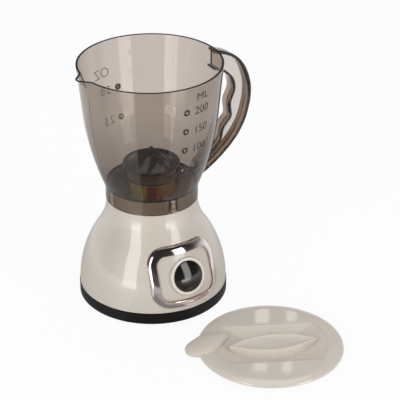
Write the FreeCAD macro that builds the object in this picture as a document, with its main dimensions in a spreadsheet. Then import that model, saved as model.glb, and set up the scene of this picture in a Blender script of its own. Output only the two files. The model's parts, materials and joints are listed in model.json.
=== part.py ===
"""Toy blender: a battery base with a push button, a clear jug with a turning juicer cone, and a lid.

Millimetres.  The origin is the middle of the base's underside, +Z is up, the handle points along +X,
the pouring lip along -X and the control panel faces -Y.
"""
import FreeCAD
import Part
import Sketcher
import math
import os

Vector = FreeCAD.Vector

# Driving sizes in millimetres, degrees for turns and tilts, and whole numbers for teeth.
SIZES = {
    # foot ring and lower shell
    "base_radius": 60.0,
    "ring_height": 10.0,
    "ring_wall": 2.8,
    "ring_lip": 3.0,
    "ring_step": 0.4,
    "shell_wall": 2.2,
    "belly_radius": 88.5,
    "shoulder_height": 85.2,
    "shoulder_radius": 36.5,
    "neck_step": 2.1,
    "neck_height": 11.2,
    "neck_wall": 2.0,
    "deck_drop": 8.4,
    "deck_thickness": 2.0,
    "key_width": 5.0,
    "key_depth": 1.0,
    "key_clearance": 0.4,
    # base plate, battery bay and fixings
    "plate_thickness": 2.4,
    "plate_clearance": 0.2,
    "cell_radius": 7.2,
    "cell_length": 50.0,
    "cell_gap": 0.5,
    "contact_room": 3.0,
    "bay_inset": 46.5,
    "bay_wall": 1.4,
    "door_thickness": 2.0,
    "door_margin": 2.0,
    "door_clearance": 0.25,
    "screw_radius": 1.3,
    "screw_head_radius": 2.8,
    "screw_head_height": 1.4,
    "screw_grip": 12.0,
    "boss_radius": 3.5,
    "boss_inset": 10.0,
    "boss_gap": 2.4,
    "boss_top": 46.0,
    "speaker_radius": 14.0,
    "speaker_height": 7.0,
    "speaker_offset": 24.0,
    "grille_slot": 1.8,
    "grille_pitch": 4.4,
    # control panel
    "panel_height": 37.2,
    "bezel_half_width": 28.6,
    "bezel_half_height": 22.6,
    "bezel_corner": 14.0,
    "bezel_band": 6.2,
    "bezel_stand": 1.6,
    "button_radius": 12.1,
    "button_gap": 0.3,
    "button_crown": 2.2,
    "button_stand": 1.4,
    "button_skirt": 7.0,
    "button_wall": 1.6,
    "button_travel": 2.0,
    "collar_width": 3.0,
    "collar_stand": 0.6,
    "board_depth": 20.0,
    "board_width": 46.0,
    "board_height": 32.0,
    "board_thickness": 1.6,
    "switch_side": 6.0,
    "switch_height": 4.0,
    "post_radius": 2.6,
    "spring_radius": 4.6,
    "spring_wire": 0.4,
    "spring_turns": 5.0,
    # drive
    "gear_module": 0.8,
    "pinion_teeth": 12,
    "wheel_teeth": 30,
    "final_teeth": 36,
    "gear_backlash": 0.16,
    "train_turn": 205.0,
    "motor_radius": 10.0,
    "motor_length": 25.0,
    "motor_shaft_radius": 1.0,
    "gear_boss_height": 8.0,
    "gear_plate": 2.0,
    "gear_room": 14.0,
    "gear_plate_radius": 32.5,
    "lower_wheel_height": 3.0,
    "final_height": 4.0,
    "pillar_radius": 3.0,
    "pillar_circle": 27.5,
    "axle_radius": 1.2,
    "running_gap": 0.05,
    "spindle_radius": 2.5,
    "drive_flats": 6.0,
    "drive_height": 5.5,
    "bush_radius": 5.0,
    # lamp drum under the jug
    "drum_top_radius": 19.4,
    "drum_foot_radius": 17.6,
    "drum_height": 14.4,
    "drum_wall": 1.4,
    "drum_cap": 1.2,
    "led_radius": 2.4,
    "led_circle": 12.0,
    # jug
    "jug_wall": 1.6,
    "collar_wall": 2.1,
    "collar_height": 12.9,
    "jug_seat_gap": 0.3,
    "floor_step": 0.75,
    "jug_curve": 228.0,
    "jug_waist_rise": 61.6,
    "jug_waist_radius": 53.2,
    "jug_rise": 101.6,
    "rim_radius": 57.1,
    "lip_reach": 7.0,
    "lip_nose": 5.0,
    "lip_spread": 45.0,
    "lip_root": 14.0,
    "lip_depth": 8.0,
    "hub_gap": 0.8,
    "hub_wall": 1.4,
    # handle
    "handle_depth": 16.0,
    "handle_flange": 3.0,
    "handle_web": 1.4,
    "handle_stand": 31.8,
    "handle_top_curve": 40.0,
    "handle_low_curve": 69.5,
    "grip_flange": 3.2,
    # juicer cone
    "cone_radius": 22.6,
    "cone_gap": 0.9,
    "cone_rim_height": 9.6,
    "cone_rim_wall": 1.6,
    "cone_dish": 4.6,
    "cone_rise": 22.2,
    "cone_fins": 6,
    "fin_thickness": 2.6,
    "cone_shaft_radius": 2.5,
    "socket_radius": 5.2,
    "socket_gap": 0.15,
    # lid
    "lid_across": 28.0,
    "lid_forward": 132.0,
    "lid_turn": 158.5,
    "lid_inset": 0.7,
    "lid_fit": 1.2,
    "lid_skirt_depth": 4.5,
    "lid_skirt_taper": 7.0,
    "lid_edge": 2.4,
    "lid_facet_inset": 8.4,
    "lid_facet_height": 8.3,
    "lid_crown": 8.8,
    "lid_wall": 1.5,
    "valley_turn": -4.8,
    "valley_aside": 1.0,
    "valley_half_length": 44.5,
    "valley_half_width": 26.4,
    "valley_floor": 1.7,
    "valley_step": 0.4,
    "grip_along": -1.8,
    "grip_aside": 2.1,
    "grip_half_length": 34.6,
    "grip_half_width": 11.3,
    "grip_foot_half_length": 33.4,
    "grip_foot_half_width": 14.2,
    "grip_top": 10.2,
    "grip_dish": 1.5,
    "grip_round": 0.9,
    "tongue_spare": 1.9,
}


# Line of the finger grip, from the jug's wall at its top to the wall at its foot, as distances
# (inwards from the bow's reach, upwards from the bow's widest height).
GRIP_LINE = [(38.9, 18.5), (32.9, 19.8), (25.9, 19.6), (19.4, 13.8), (17.0, 4.5), (19.6, -7.0),
             (20.5, -17.0), (25.7, -29.5), (29.3, -39.0), (37.1, -47.3), (44.4, -53.5), (50.9, -57.0)]


# Line of the lid's tongue, from its tip inwards: distance from the tip, place to the side, half width,
# height of its widest level and rise above that.
TONGUE_LINE = [(0.0, -4.5, 1.5, 4.4, 0.6), (0.6, -4.6, 4.4, 4.4, 1.2), (2.0, -4.8, 7.0, 4.5, 2.2),
               (4.5, -5.2, 9.3, 4.8, 3.0), (7.5, -5.6, 10.9, 5.2, 3.6), (11.0, -6.2, 12.2, 6.2, 3.6),
               (15.0, -7.0, 13.4, 7.4, 3.2), (19.0, -8.4, 13.4, 7.8, 3.2), (23.0, -10.0, 11.8, 7.4, 3.7),
               (28.0, -12.8, 8.8, 6.8, 3.9), (32.5, -16.2, 5.8, 6.0, 3.2), (36.0, -18.4, 3.0, 5.6, 1.6),
               (37.4, -19.2, 1.2, 5.4, 0.6)]


class Size:
    """A number together with the sheet expression that gives it."""

    def __init__(self, number, text):
        self.number = float(number)
        self.text = text

    def __add__(self, other):
        other = as_size(other)
        return Size(self.number + other.number, f"({self.text} + {other.text})")

    def __radd__(self, other):
        return as_size(other) + self

    def __sub__(self, other):
        other = as_size(other)
        return Size(self.number - other.number, f"({self.text} - {other.text})")

    def __rsub__(self, other):
        return as_size(other) - self

    def __mul__(self, other):
        other = as_size(other)
        return Size(self.number * other.number, f"({self.text} * {other.text})")

    def __rmul__(self, other):
        return as_size(other) * self

    def __truediv__(self, other):
        other = as_size(other)
        return Size(self.number / other.number, f"({self.text} / {other.text})")

    def __rtruediv__(self, other):
        return as_size(other) / self

    def __neg__(self):
        return Size(-self.number, f"(0 - {self.text})")


def as_size(value):
    """Give a plain number the same form as a size from the sheet."""
    if isinstance(value, Size):
        return value
    return Size(value, repr(float(value)))


def square_root(value):
    """Square root of a size."""
    return Size(math.sqrt(value.number), f"sqrt({value.text})")


def cosine(degrees):
    """Cosine of an angle in degrees."""
    degrees = as_size(degrees)
    return Size(math.cos(math.radians(degrees.number)), f"cos({degrees.text})")


def sine(degrees):
    """Sine of an angle in degrees."""
    degrees = as_size(degrees)
    return Size(math.sin(math.radians(degrees.number)), f"sin({degrees.text})")


class Sheet:
    """The spreadsheet of driving sizes; each size is read as an attribute."""

    def __init__(self, doc):
        self.table = doc.addObject("Spreadsheet::Sheet", "Sizes")
        for row, (name, value) in enumerate(SIZES.items(), start=1):
            self.table.set(f"A{row}", name)
            self.table.set(f"B{row}", str(value))
            self.table.setAlias(f"B{row}", name)

    def __getattr__(self, name):
        return Size(SIZES[name], f"Sizes.{name}")


doc = FreeCAD.newDocument("toy_blender")
size = Sheet(doc)
doc.recompute()
nodes = []


# ---------------------------------------------------------------- drawing helpers

def bind(obj, prop, value):
    """Set a property and tie it to the sheet."""
    value = as_size(value)
    owner, _, field = prop.partition(".")
    if not field:
        setattr(obj, owner, value.number)
    if "Sizes." in value.text:
        obj.setExpression(prop, value.text)


def place(obj, at=(0, 0, 0), axis=Vector(0, 0, 1), turn=0):
    """Place an object at a point, turned about an axis through that point."""
    point = [as_size(value) for value in at]
    turn = as_size(turn)
    position = Vector(*[value.number for value in point])
    obj.Placement = FreeCAD.Placement(position, FreeCAD.Rotation(axis, turn.number))
    for letter, value in zip("xyz", point):
        bind(obj, f"Placement.Base.{letter}", value)
    return obj


def primitive(kind, name, at=(0, 0, 0), axis=Vector(0, 0, 1), turn=0, **sizes):
    """A Part primitive whose properties are tied to the sheet."""
    obj = doc.addObject(f"Part::{kind}", name)
    for prop, value in sizes.items():
        bind(obj, prop, value)
    return place(obj, at, axis, turn)


def cylinder(name, radius, height, at=(0, 0, 0), axis=Vector(0, 0, 1), turn=0):
    """A cylinder standing on its start point."""
    return primitive("Cylinder", name, at, axis, turn, Radius=radius, Height=height)


def block(name, length, width, height, at=(0, 0, 0)):
    """A box whose footprint is centred on a point and whose underside is at its height."""
    length, width = as_size(length), as_size(width)
    corner = (at[0] - length / 2, at[1] - width / 2, at[2])
    return primitive("Box", name, corner, Length=length, Width=width, Height=height)


def cut(name, base, *tools):
    """Take one or more shapes away from a base."""
    obj = doc.addObject("Part::Cut", name)
    obj.Base = base
    obj.Tool = tools[0] if len(tools) == 1 else join(f"{name}_tools", *tools)
    return obj


def join(name, *shapes):
    """Fuse shapes, or hold them as separate solids where they don't meet."""
    obj = doc.addObject("Part::MultiFuse", name)
    obj.Shapes = list(shapes)
    return obj


def overlap(name, *shapes):
    """Keep what all the shapes share."""
    obj = doc.addObject("Part::MultiCommon", name)
    obj.Shapes = list(shapes)
    return obj


def feature(name, shape, at=(0, 0, 0), axis=Vector(0, 0, 1), turn=0):
    """A shape made with Part's own functions, then placed."""
    obj = doc.addObject("Part::Feature", name)
    obj.Shape = shape
    return place(obj, at, axis, turn)


def loft(name, sections, ruled=True):
    """Solid through a row of sections, with straight or smooth sides."""
    obj = doc.addObject("Part::Loft", name)
    obj.Sections = sections
    obj.Solid = True
    obj.Ruled = ruled
    return obj


def node(name, obj):
    """Register a finished piece under the name of its file."""
    obj.Label = name
    nodes.append(obj)
    return obj


def origin_plane(body, role):
    """One of a body's own origin planes or axes."""
    return next(item for item in body.Origin.OriginFeatures if item.Role == role)


def closed_outline(sketch, corners):
    """Draw a closed outline in a sketch, each corner tied to the sheet.

    A corner is (across, up), or (across, up, radius, bend) where an arc leads to the next corner:
    bend is 1 where the arc's centre lies left of the way along the outline, and -1 where it lies right.
    """
    first = sketch.GeometryCount
    count = len(corners)
    ends = []
    for index, corner in enumerate(corners):
        following = corners[(index + 1) % count]
        start = Vector(as_size(corner[0]).number, as_size(corner[1]).number, 0)
        stop = Vector(as_size(following[0]).number, as_size(following[1]).number, 0)
        if len(corner) == 2:
            sketch.addGeometry(Part.LineSegment(start, stop), False)
            ends.append((1, 2))
            continue
        radius, bend = as_size(corner[2]).number, corner[3]
        chord = stop - start
        left = Vector(-chord.y, chord.x, 0).normalize()
        rise = math.sqrt(max(radius ** 2 - (chord.Length / 2) ** 2, 0))
        centre = (start + stop) / 2 + left * (bend * rise)
        crest = centre - left * (bend * radius)
        if bend > 0:
            sketch.addGeometry(Part.Arc(start, crest, stop), False)
            ends.append((1, 2))
        else:
            sketch.addGeometry(Part.Arc(stop, crest, start), False)
            ends.append((2, 1))
    for index, corner in enumerate(corners):
        after = (index + 1) % count
        sketch.addConstraint(Sketcher.Constraint(
            "Coincident", first + index, ends[index][1], first + after, ends[after][0]))
        for kind, value in (("DistanceX", corner[0]), ("DistanceY", corner[1])):
            tie(sketch, Sketcher.Constraint(
                kind, -1, 1, first + index, ends[index][0], as_size(value).number), value)
        if len(corner) == 4:
            tie(sketch, Sketcher.Constraint("Radius", first + index, as_size(corner[2]).number), corner[2])


def circle_outline(sketch, across, up, radius):
    """Draw a circle in a sketch, tied to the sheet."""
    index = sketch.GeometryCount
    centre = Vector(as_size(across).number, as_size(up).number, 0)
    sketch.addGeometry(Part.Circle(centre, Vector(0, 0, 1), as_size(radius).number), False)
    tie(sketch, Sketcher.Constraint("DistanceX", -1, 1, index, 3, centre.x), across)
    tie(sketch, Sketcher.Constraint("DistanceY", -1, 1, index, 3, centre.y), up)
    tie(sketch, Sketcher.Constraint("Radius", index, as_size(radius).number), radius)


def tie(sketch, constraint, value):
    """Add a constraint whose value follows the sheet."""
    added = sketch.addConstraint(constraint)
    value = as_size(value)
    if "Sizes." in value.text:
        sketch.setExpression(f"Constraints[{added}]", value.text)


def body_sketch(body, role, outlines, offset=0):
    """A sketch on one of the body's origin planes; a three-value outline item is a circle."""
    sketch = body.newObject("Sketcher::SketchObject", f"{body.Name}_sketch")
    sketch.AttachmentSupport = [(origin_plane(body, role), "")]
    sketch.MapMode = "FlatFace"
    offset = as_size(offset)
    sketch.AttachmentOffset = FreeCAD.Placement(Vector(0, 0, offset.number), FreeCAD.Rotation())
    bind(sketch, "AttachmentOffset.Base.z", offset)
    for outline in outlines:
        if isinstance(outline, tuple):
            circle_outline(sketch, *outline)
        else:
            closed_outline(sketch, outline)
    return sketch


def new_body(name):
    """An empty body."""
    return doc.addObject("PartDesign::Body", name)


def revolve(body, corners, groove=False):
    """Turn an outline of (radius, height) corners about the upright axis."""
    sketch = body_sketch(body, "XZ_Plane", [corners])
    kind = "Groove" if groove else "Revolution"
    turned = body.newObject(f"PartDesign::{kind}", f"{body.Name}_{kind.lower()}")
    turned.Profile = sketch
    turned.ReferenceAxis = (sketch, ["V_Axis"])
    turned.Angle = 360
    body.Tip = turned
    return turned


def revolved(name, corners):
    """A body of revolution."""
    body = new_body(name)
    revolve(body, corners)
    return body


def pad(body, role, outlines, length, offset=0, both=False):
    """Thicken outlines drawn on an origin plane."""
    sketch = body_sketch(body, role, outlines, offset)
    raised = body.newObject("PartDesign::Pad", f"{body.Name}_pad")
    raised.Profile = sketch
    bind(raised, "Length", length)
    raised.Midplane = both
    body.Tip = raised
    return raised


def rounded_rectangle(half_width, low, high, corner):
    """Corners of a rectangle with rounded corners, drawn anticlockwise from its lower right."""
    return [
        (half_width - corner, low, corner, 1),
        (half_width, low + corner),
        (half_width, high - corner, corner, 1),
        (half_width - corner, high),
        (corner - half_width, high, corner, 1),
        (-half_width, high - corner),
        (-half_width, low + corner, corner, 1),
        (corner - half_width, low),
    ]


# ---------------------------------------------------------------- shared places

shell_radius = size.base_radius - size.ring_step
sweep_drop = shell_radius - size.shoulder_radius
sweep_rise = size.shoulder_height - size.ring_height
sweep_sum = (sweep_drop * sweep_drop + sweep_rise * sweep_rise) / (2 * sweep_drop)
throat_radius = sweep_sum - size.belly_radius
neck_radius = size.shoulder_radius - size.neck_step
neck_top = size.shoulder_height + size.neck_height
deck_top = neck_top - size.deck_drop
deck_under = deck_top - size.deck_thickness

collar_radius = neck_radius + size.key_clearance + size.collar_wall
jug_floor_radius = collar_radius + size.floor_step
collar_foot = size.shoulder_height + size.jug_seat_gap
jug_foot = collar_foot + size.collar_height
floor_under = neck_top + size.jug_seat_gap
floor_top = floor_under + size.jug_wall
jug_rim = jug_foot + size.jug_rise
waist_height = jug_foot + size.jug_waist_rise
drum_top = deck_top + size.drum_height + size.drum_cap
hub_radius = size.drum_top_radius + size.hub_gap
hub_under = drum_top + size.jug_seat_gap
hub_top = hub_under + size.hub_wall
cone_foot = hub_top + size.cone_gap
cone_apex = cone_foot + size.cone_rise
drive_top = drum_top - 1
drive_foot = drive_top - size.drive_height

gear_top = deck_under - size.gear_boss_height - size.gear_plate
gear_floor = gear_top - size.gear_room - size.gear_plate
handle_reach = size.rim_radius + size.handle_stand
handle_crown = waist_height
lid_radius = size.rim_radius - size.lid_inset
lid_skirt_radius = size.rim_radius - size.jug_wall - size.lid_fit
lid_facet_radius = lid_radius - size.lid_facet_inset
tongue_reach = size.rim_radius + size.lip_reach + size.tongue_spare
bay_length = size.cell_length + 2 * size.contact_room
boss_circle = size.base_radius - size.boss_inset
boss_across = bay_length / 2 + size.bay_wall + size.boss_radius + size.boss_gap
boss_back = square_root(boss_circle * boss_circle - boss_across * boss_across)
boss_spots = {name: (east * boss_across, north * boss_back)
              for name, east, north in (("a", 1, 1), ("b", -1, 1), ("c", -1, -1), ("d", 1, -1))}
bay_offset = size.base_radius - size.bay_inset

wheel_distance = size.gear_module * (size.pinion_teeth + size.final_teeth) / 2
pinion_distance = size.gear_module * (size.pinion_teeth + size.wheel_teeth) / 2
pinion_across = pinion_distance * cosine(size.train_turn)
pinion_back = wheel_distance + pinion_distance * sine(size.train_turn)
pillar_turns = (-150, -30, 55)

panel_sine = (size.panel_height - size.ring_height) / size.belly_radius
panel_tilt = math.degrees(math.asin(panel_sine.number))
panel_cosine = square_root(1 - panel_sine * panel_sine)
panel_reach = shell_radius - size.belly_radius + size.belly_radius * panel_cosine
panel_point = (0, -panel_reach, size.panel_height)
panel_turn = 90 - panel_tilt
button_hole = size.button_radius + size.button_gap
crossways = Vector(1, 0, 0)


def panel_place(depth):
    """A point on the button's axis, a given depth inside the shell's face."""
    return (0, depth * panel_cosine - panel_reach, size.panel_height - depth * panel_sine)


def sweep_corners(inset):
    """The belly and throat of the shell as two tangent arcs, inset by a wall: (radius, height, arc)."""
    belly = size.belly_radius - inset
    centre = shell_radius - size.belly_radius
    tangent_across = centre + belly * (sweep_sum - sweep_drop) / sweep_sum
    tangent_up = size.ring_height + belly * sweep_rise / sweep_sum
    return [
        (shell_radius - inset, size.ring_height, belly, 1),
        (tangent_across, tangent_up, throat_radius + inset, -1),
        (size.shoulder_radius - inset, size.shoulder_height),
    ]


# ---------------------------------------------------------------- base shell and foot

def filled_shell(name, stand=0):
    """The space inside the shell's outer face, or one that stands proud of it."""
    corners = sweep_corners(0 - as_size(stand))
    top = corners[-1]
    return revolved(name, [(0, size.ring_height)] + corners + [(0, top[1])])


def base_shell():
    """Moulded shell: belly, throat, shoulder, keyed neck with a sunk deck, and screw bosses."""
    outer = sweep_corners(0)
    inner = sweep_corners(size.shell_wall)
    inner_radius = size.shoulder_radius - size.shell_wall
    wall = revolved("shell_wall_body", outer + [
        (neck_radius, size.shoulder_height),
        (neck_radius, neck_top),
        (neck_radius - size.neck_wall, neck_top),
        (neck_radius - size.neck_wall, deck_top),
        (size.bush_radius, deck_top),
        (size.bush_radius, deck_under),
        (inner_radius, deck_under),
        (inner_radius, size.shoulder_height, throat_radius + size.shell_wall, 1),
        (inner[1][0], inner[1][1], size.belly_radius - size.shell_wall, -1),
        (inner[0][0], inner[0][1]),
    ])
    keys = [
        primitive("Box", f"neck_key_{turn}",
                  at=((neck_radius - size.neck_wall / 2) * cosine(turn) + size.key_width / 2 * sine(turn),
                      (neck_radius - size.neck_wall / 2) * sine(turn) - size.key_width / 2 * cosine(turn),
                      size.shoulder_height),
                  turn=turn, Length=size.neck_wall / 2 + size.key_depth, Width=size.key_width,
                  Height=size.neck_height)
        for turn in (0, 90, 180, 270)
    ]
    bosses = [
        cylinder(f"screw_boss_{name}", size.boss_radius, size.boss_top - size.plate_thickness,
                 at=(across, back, size.plate_thickness))
        for name, (across, back) in boss_spots.items()
    ]
    inside = join("boss_limit", filled_shell("boss_skin", stand=-size.shell_wall / 2),
                  cylinder("boss_foot", boss_circle + size.boss_radius + 1, 2 * size.ring_height))
    trimmed = overlap("trimmed_bosses", join("bosses", *bosses), inside)
    pilots = [
        cylinder(f"screw_pilot_{name}", size.screw_radius + size.running_gap, size.screw_grip,
                 at=(across, back, size.plate_thickness))
        for name, (across, back) in boss_spots.items()
    ]
    gear_bosses = [
        cylinder(f"gear_boss_{turn}", size.pillar_radius, deck_under - gear_top - size.gear_plate,
                 at=(size.pillar_circle * cosine(turn), size.pillar_circle * sine(turn),
                     gear_top + size.gear_plate))
        for turn in pillar_turns
    ]
    gear_pilots = [
        cylinder(f"gear_pilot_{turn}", size.screw_radius + size.running_gap, size.boss_radius * 2,
                 at=(size.pillar_circle * cosine(turn), size.pillar_circle * sine(turn),
                     gear_top + size.gear_plate))
        for turn in pillar_turns
    ]
    board_posts = overlap("board_posts", join("board_post_pair", *[
        cylinder(f"board_post_{side}", size.pillar_radius, size.board_depth,
                 at=panel_at(side * size.board_width * 0.4, 0, -size.board_depth),
                 axis=crossways, turn=panel_turn)
        for side in (-1, 1)
    ]), filled_shell("post_limit", stand=-size.shell_wall / 2))
    board_pilots = [
        cylinder(f"board_pilot_{side}", size.screw_radius + size.running_gap, size.screw_grip * 0.6,
                 at=panel_at(side * size.board_width * 0.4, 0, -size.board_depth),
                 axis=crossways, turn=panel_turn)
        for side in (-1, 1)
    ]
    button_way = cylinder("button_way", button_hole, 4 * size.shell_wall,
                          at=panel_at(0, 0, -3 * size.shell_wall), axis=crossways, turn=panel_turn)
    solid = join("shell_joined", wall, *keys, trimmed, board_posts, *gear_bosses)
    return node("base_shell", cut("base_shell", solid, button_way, *pilots, *gear_pilots,
                                  *board_pilots))


def panel_at(across, up, out):
    """A point given in the tilted frame of the control panel."""
    across, up, out = as_size(across), as_size(up), as_size(out)
    return (
        across,
        up * panel_sine - out * panel_cosine - panel_reach,
        size.panel_height + up * panel_cosine + out * panel_sine,
    )


def foot_ring():
    """Dark ring that the shell stands on, with a lip behind the shell's edge."""
    inner = size.base_radius - size.ring_wall
    shell_inside = shell_radius - size.shell_wall - size.plate_clearance
    body = revolved("foot_ring_body", [
        (inner, 0),
        (size.base_radius - 0.8, 0),
        (size.base_radius, 0.8),
        (size.base_radius, size.ring_height - 0.6),
        (size.base_radius - 0.6, size.ring_height),
        (shell_inside, size.ring_height),
        (shell_inside, size.ring_height + size.ring_lip),
        (shell_inside - size.ring_lip / 2, size.ring_height + size.ring_lip),
        (shell_inside - size.ring_lip / 2, size.ring_height / 2 + size.ring_lip),
        (inner, size.ring_height / 2 + size.ring_lip / 2),
    ])
    return node("foot_ring", body)


# ---------------------------------------------------------------- base plate and batteries

bay_width = 4 * size.cell_radius + 3 * size.cell_gap
bay_middle = bay_offset + bay_width / 2
bay_height = size.door_thickness + size.cell_gap + 2 * size.cell_radius + size.cell_gap
door_length = bay_length + 2 * size.door_margin
door_width = bay_width + 2 * size.door_margin
door_screw_back = bay_middle + bay_width / 2 + size.bay_wall + size.screw_head_radius
plate_radius = size.base_radius - size.ring_wall - size.plate_clearance


def base_plate():
    """Underside plate with the battery bay, the speaker's rim and grille, and counterbored screw holes."""
    disc = cylinder("plate_disc", plate_radius, size.plate_thickness)
    bay = block("bay_outside", bay_length + 2 * size.bay_wall, bay_width + 2 * size.bay_wall,
                bay_height + size.bay_wall, at=(0, bay_middle, 0))
    bay_inside = block("bay_inside", bay_length, bay_width, bay_height, at=(0, bay_middle, 0))
    doorway = block("doorway", door_length + 2 * size.door_clearance, door_width + 2 * size.door_clearance,
                    size.door_thickness, at=(0, bay_middle, 0))
    ear_way = cylinder("door_ear_way", size.screw_head_radius + size.bay_wall + size.door_clearance,
                       size.door_thickness, at=(0, door_screw_back, 0))
    screw_post = cylinder("door_screw_post", size.screw_head_radius + size.bay_wall / 2,
                          size.screw_grip * 0.8, at=(0, door_screw_back, size.door_thickness))
    screw_hole = cylinder("door_screw_hole", size.screw_radius + size.running_gap, size.screw_grip,
                          at=(0, door_screw_back, 0))
    rim = cut("speaker_rim",
              cylinder("speaker_rim_outside", size.speaker_radius + 0.3 + size.bay_wall,
                       size.speaker_height, at=(0, -size.speaker_offset, 0)),
              cylinder("speaker_rim_inside", size.speaker_radius + 0.3, size.speaker_height,
                       at=(0, -size.speaker_offset, size.plate_thickness)))
    slots = []
    for index in range(-2, 3):
        reach = math.sqrt(1 - (index / 3.2) ** 2)
        slots.append(block(f"grille_slot_{index}", 2 * size.speaker_radius * 0.8 * reach, size.grille_slot,
                           2 * size.plate_thickness,
                           at=(0, index * size.grille_pitch - size.speaker_offset, 0)))
    holes = []
    for name, (across, back) in boss_spots.items():
        holes.append(cylinder(f"plate_hole_{name}", size.screw_radius + 0.2, size.plate_thickness,
                              at=(across, back, 0)))
        holes.append(cylinder(f"plate_counterbore_{name}", size.screw_head_radius + 0.2,
                              size.screw_head_height, at=(across, back, 0)))
    solid = join("plate_joined", disc, bay, screw_post, rim)
    return node("base_plate", cut("base_plate", solid, bay_inside, doorway, ear_way, screw_hole,
                                  *slots, *holes))


def screw(name, at, length, turn=0):
    """A pan-head screw standing on its head, with a cross recess."""
    body = revolved(name, [
        (0, 0.1),
        (size.screw_head_radius - 0.7, 0.1),
        (size.screw_head_radius, size.screw_head_height / 2),
        (size.screw_head_radius, size.screw_head_height),
        (size.screw_radius, size.screw_head_height),
        (size.screw_radius, length - size.screw_radius),
        (0, length),
    ])
    slots = [block(f"{name}_slot_{index}", *((3.2, 0.6) if index else (0.6, 3.2)), 0.9)
             for index in (0, 1)]
    driven = cut(f"{name}_driven", body, *slots)
    return place(driven, at, crossways, turn)


def base_screws():
    """Four screws through the plate into the shell's bosses."""
    screws = [screw(f"base_screw_{name}", (across, back, 0), size.screw_grip)
              for name, (across, back) in boss_spots.items()]
    return node("base_screws", join("base_screws", *screws))


def battery_parts():
    """Cells with their contacts, and the door that closes the bay, held by one screw."""
    cell_height = size.door_thickness + size.cell_gap + size.cell_radius
    cells, contacts = [], []
    for side in (-1, 1):
        back = bay_middle + side * (size.cell_radius + size.cell_gap / 2)
        upright = revolved(f"cell_{side}", [
            (0, 0),
            (size.cell_radius - 0.4, 0),
            (size.cell_radius, 0.4),
            (size.cell_radius, size.cell_length - 1.8),
            (size.cell_radius - 0.6, size.cell_length - 1.2),
            (2.7, size.cell_length - 1.2),
            (2.7, size.cell_length),
            (0, size.cell_length),
        ])
        cells.append(place(upright, (side * -size.cell_length / 2, back, cell_height),
                           Vector(0, 1, 0), side * 90))
        for end in (-1, 1):
            contacts.append(block(f"contact_{side}_{end}", size.contact_room - 0.6, 8, 10,
                                  at=(end * (bay_length / 2 - size.contact_room / 2 + 0.3), back,
                                      cell_height - 5)))
    node("battery_cells", join("battery_cells", *cells))
    node("battery_contacts", join("battery_contacts", *contacts))
    panel = block("door_panel", door_length, door_width, size.door_thickness, at=(0, bay_middle, 0))
    ear = cylinder("door_ear", size.screw_head_radius + size.bay_wall, size.door_thickness,
                   at=(0, door_screw_back, 0))
    hole = cylinder("door_hole", size.screw_radius + 0.2, size.door_thickness, at=(0, door_screw_back, 0))
    counterbore = cylinder("door_counterbore", size.screw_head_radius + 0.2, size.screw_head_height,
                           at=(0, door_screw_back, 0))
    ribs = [block(f"door_groove_{index}", 16, 1.2, 0.6,
                  at=(0, bay_middle - door_width / 2 + 4 + index * 2.6, 0)) for index in range(4)]
    node("battery_door", cut("battery_door", join("door_joined", panel, ear), hole, counterbore, *ribs))
    node("door_screw", screw("door_screw_body", (0, door_screw_back, 0), size.screw_grip * 0.8))


def speaker():
    """Speaker that faces down through the grille."""
    body = revolved("speaker_body", [
        (0, size.plate_thickness + 1.2),
        (size.speaker_radius - 2, size.plate_thickness + 0.2),
        (size.speaker_radius, size.plate_thickness),
        (size.speaker_radius, size.plate_thickness + 2),
        (size.speaker_radius - 3, size.plate_thickness + 3.2),
        (size.speaker_radius / 2, size.plate_thickness + 3.2),
        (size.speaker_radius / 2, size.plate_thickness + size.speaker_height),
        (0, size.plate_thickness + size.speaker_height),
    ])
    return node("speaker", place(body, (0, -size.speaker_offset, 0)))


# ---------------------------------------------------------------- control panel

def panel_bezel():
    """Bright rounded-square frame that hugs the shell's face around the button."""
    low = size.panel_height - size.bezel_half_height
    high = size.panel_height + size.bezel_half_height
    band = size.bezel_band
    frame = new_body("bezel_frame")
    pad(frame, "XZ_Plane", [
        rounded_rectangle(size.bezel_half_width, low, high, size.bezel_corner),
        rounded_rectangle(size.bezel_half_width - band, low + band, high - band,
                          size.bezel_corner - band / 2),
    ], size.base_radius + size.belly_radius)
    proud = overlap("bezel_proud", frame, filled_shell("bezel_skin", stand=size.bezel_stand))
    return node("panel_bezel", cut("panel_bezel", proud, filled_shell("bezel_seat")))


def button_collar():
    """Raised ring on the shell around the push button."""
    outer = button_hole + size.collar_width
    ring = revolved("collar_ring", [
        (button_hole, -size.button_skirt),
        (outer, -size.button_skirt),
        (outer, size.collar_stand - 0.9, 0.9, 1),
        (outer - 0.9, size.collar_stand),
        (button_hole + 0.5, size.collar_stand),
        (button_hole, size.collar_stand - 0.5),
    ])
    place(ring, panel_point, crossways, panel_turn)
    return node("button_collar", cut("button_collar", ring, filled_shell("collar_seat")))


def push_button():
    """Domed button: crowned cap, skirt that guides it, and a post that reaches the switch."""
    edge = size.button_stand
    crown = size.button_crown
    cap_radius = size.button_radius
    dome = (cap_radius * cap_radius + crown * crown) / (2 * crown)
    switch_top = size.board_depth - size.board_thickness - size.switch_height - 1
    post_tip = -(switch_top - size.button_travel - 0.1)
    body = revolved("push_button_body", [
        (0, post_tip),
        (size.post_radius, post_tip),
        (size.post_radius, edge - size.button_wall),
        (cap_radius - size.button_wall, edge - size.button_wall),
        (cap_radius - size.button_wall, edge - size.button_skirt),
        (cap_radius, edge - size.button_skirt),
        (cap_radius, edge, dome, 1),
        (0, edge + crown),
    ])
    return node("push_button", place(body, panel_point, crossways, panel_turn))


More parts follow.
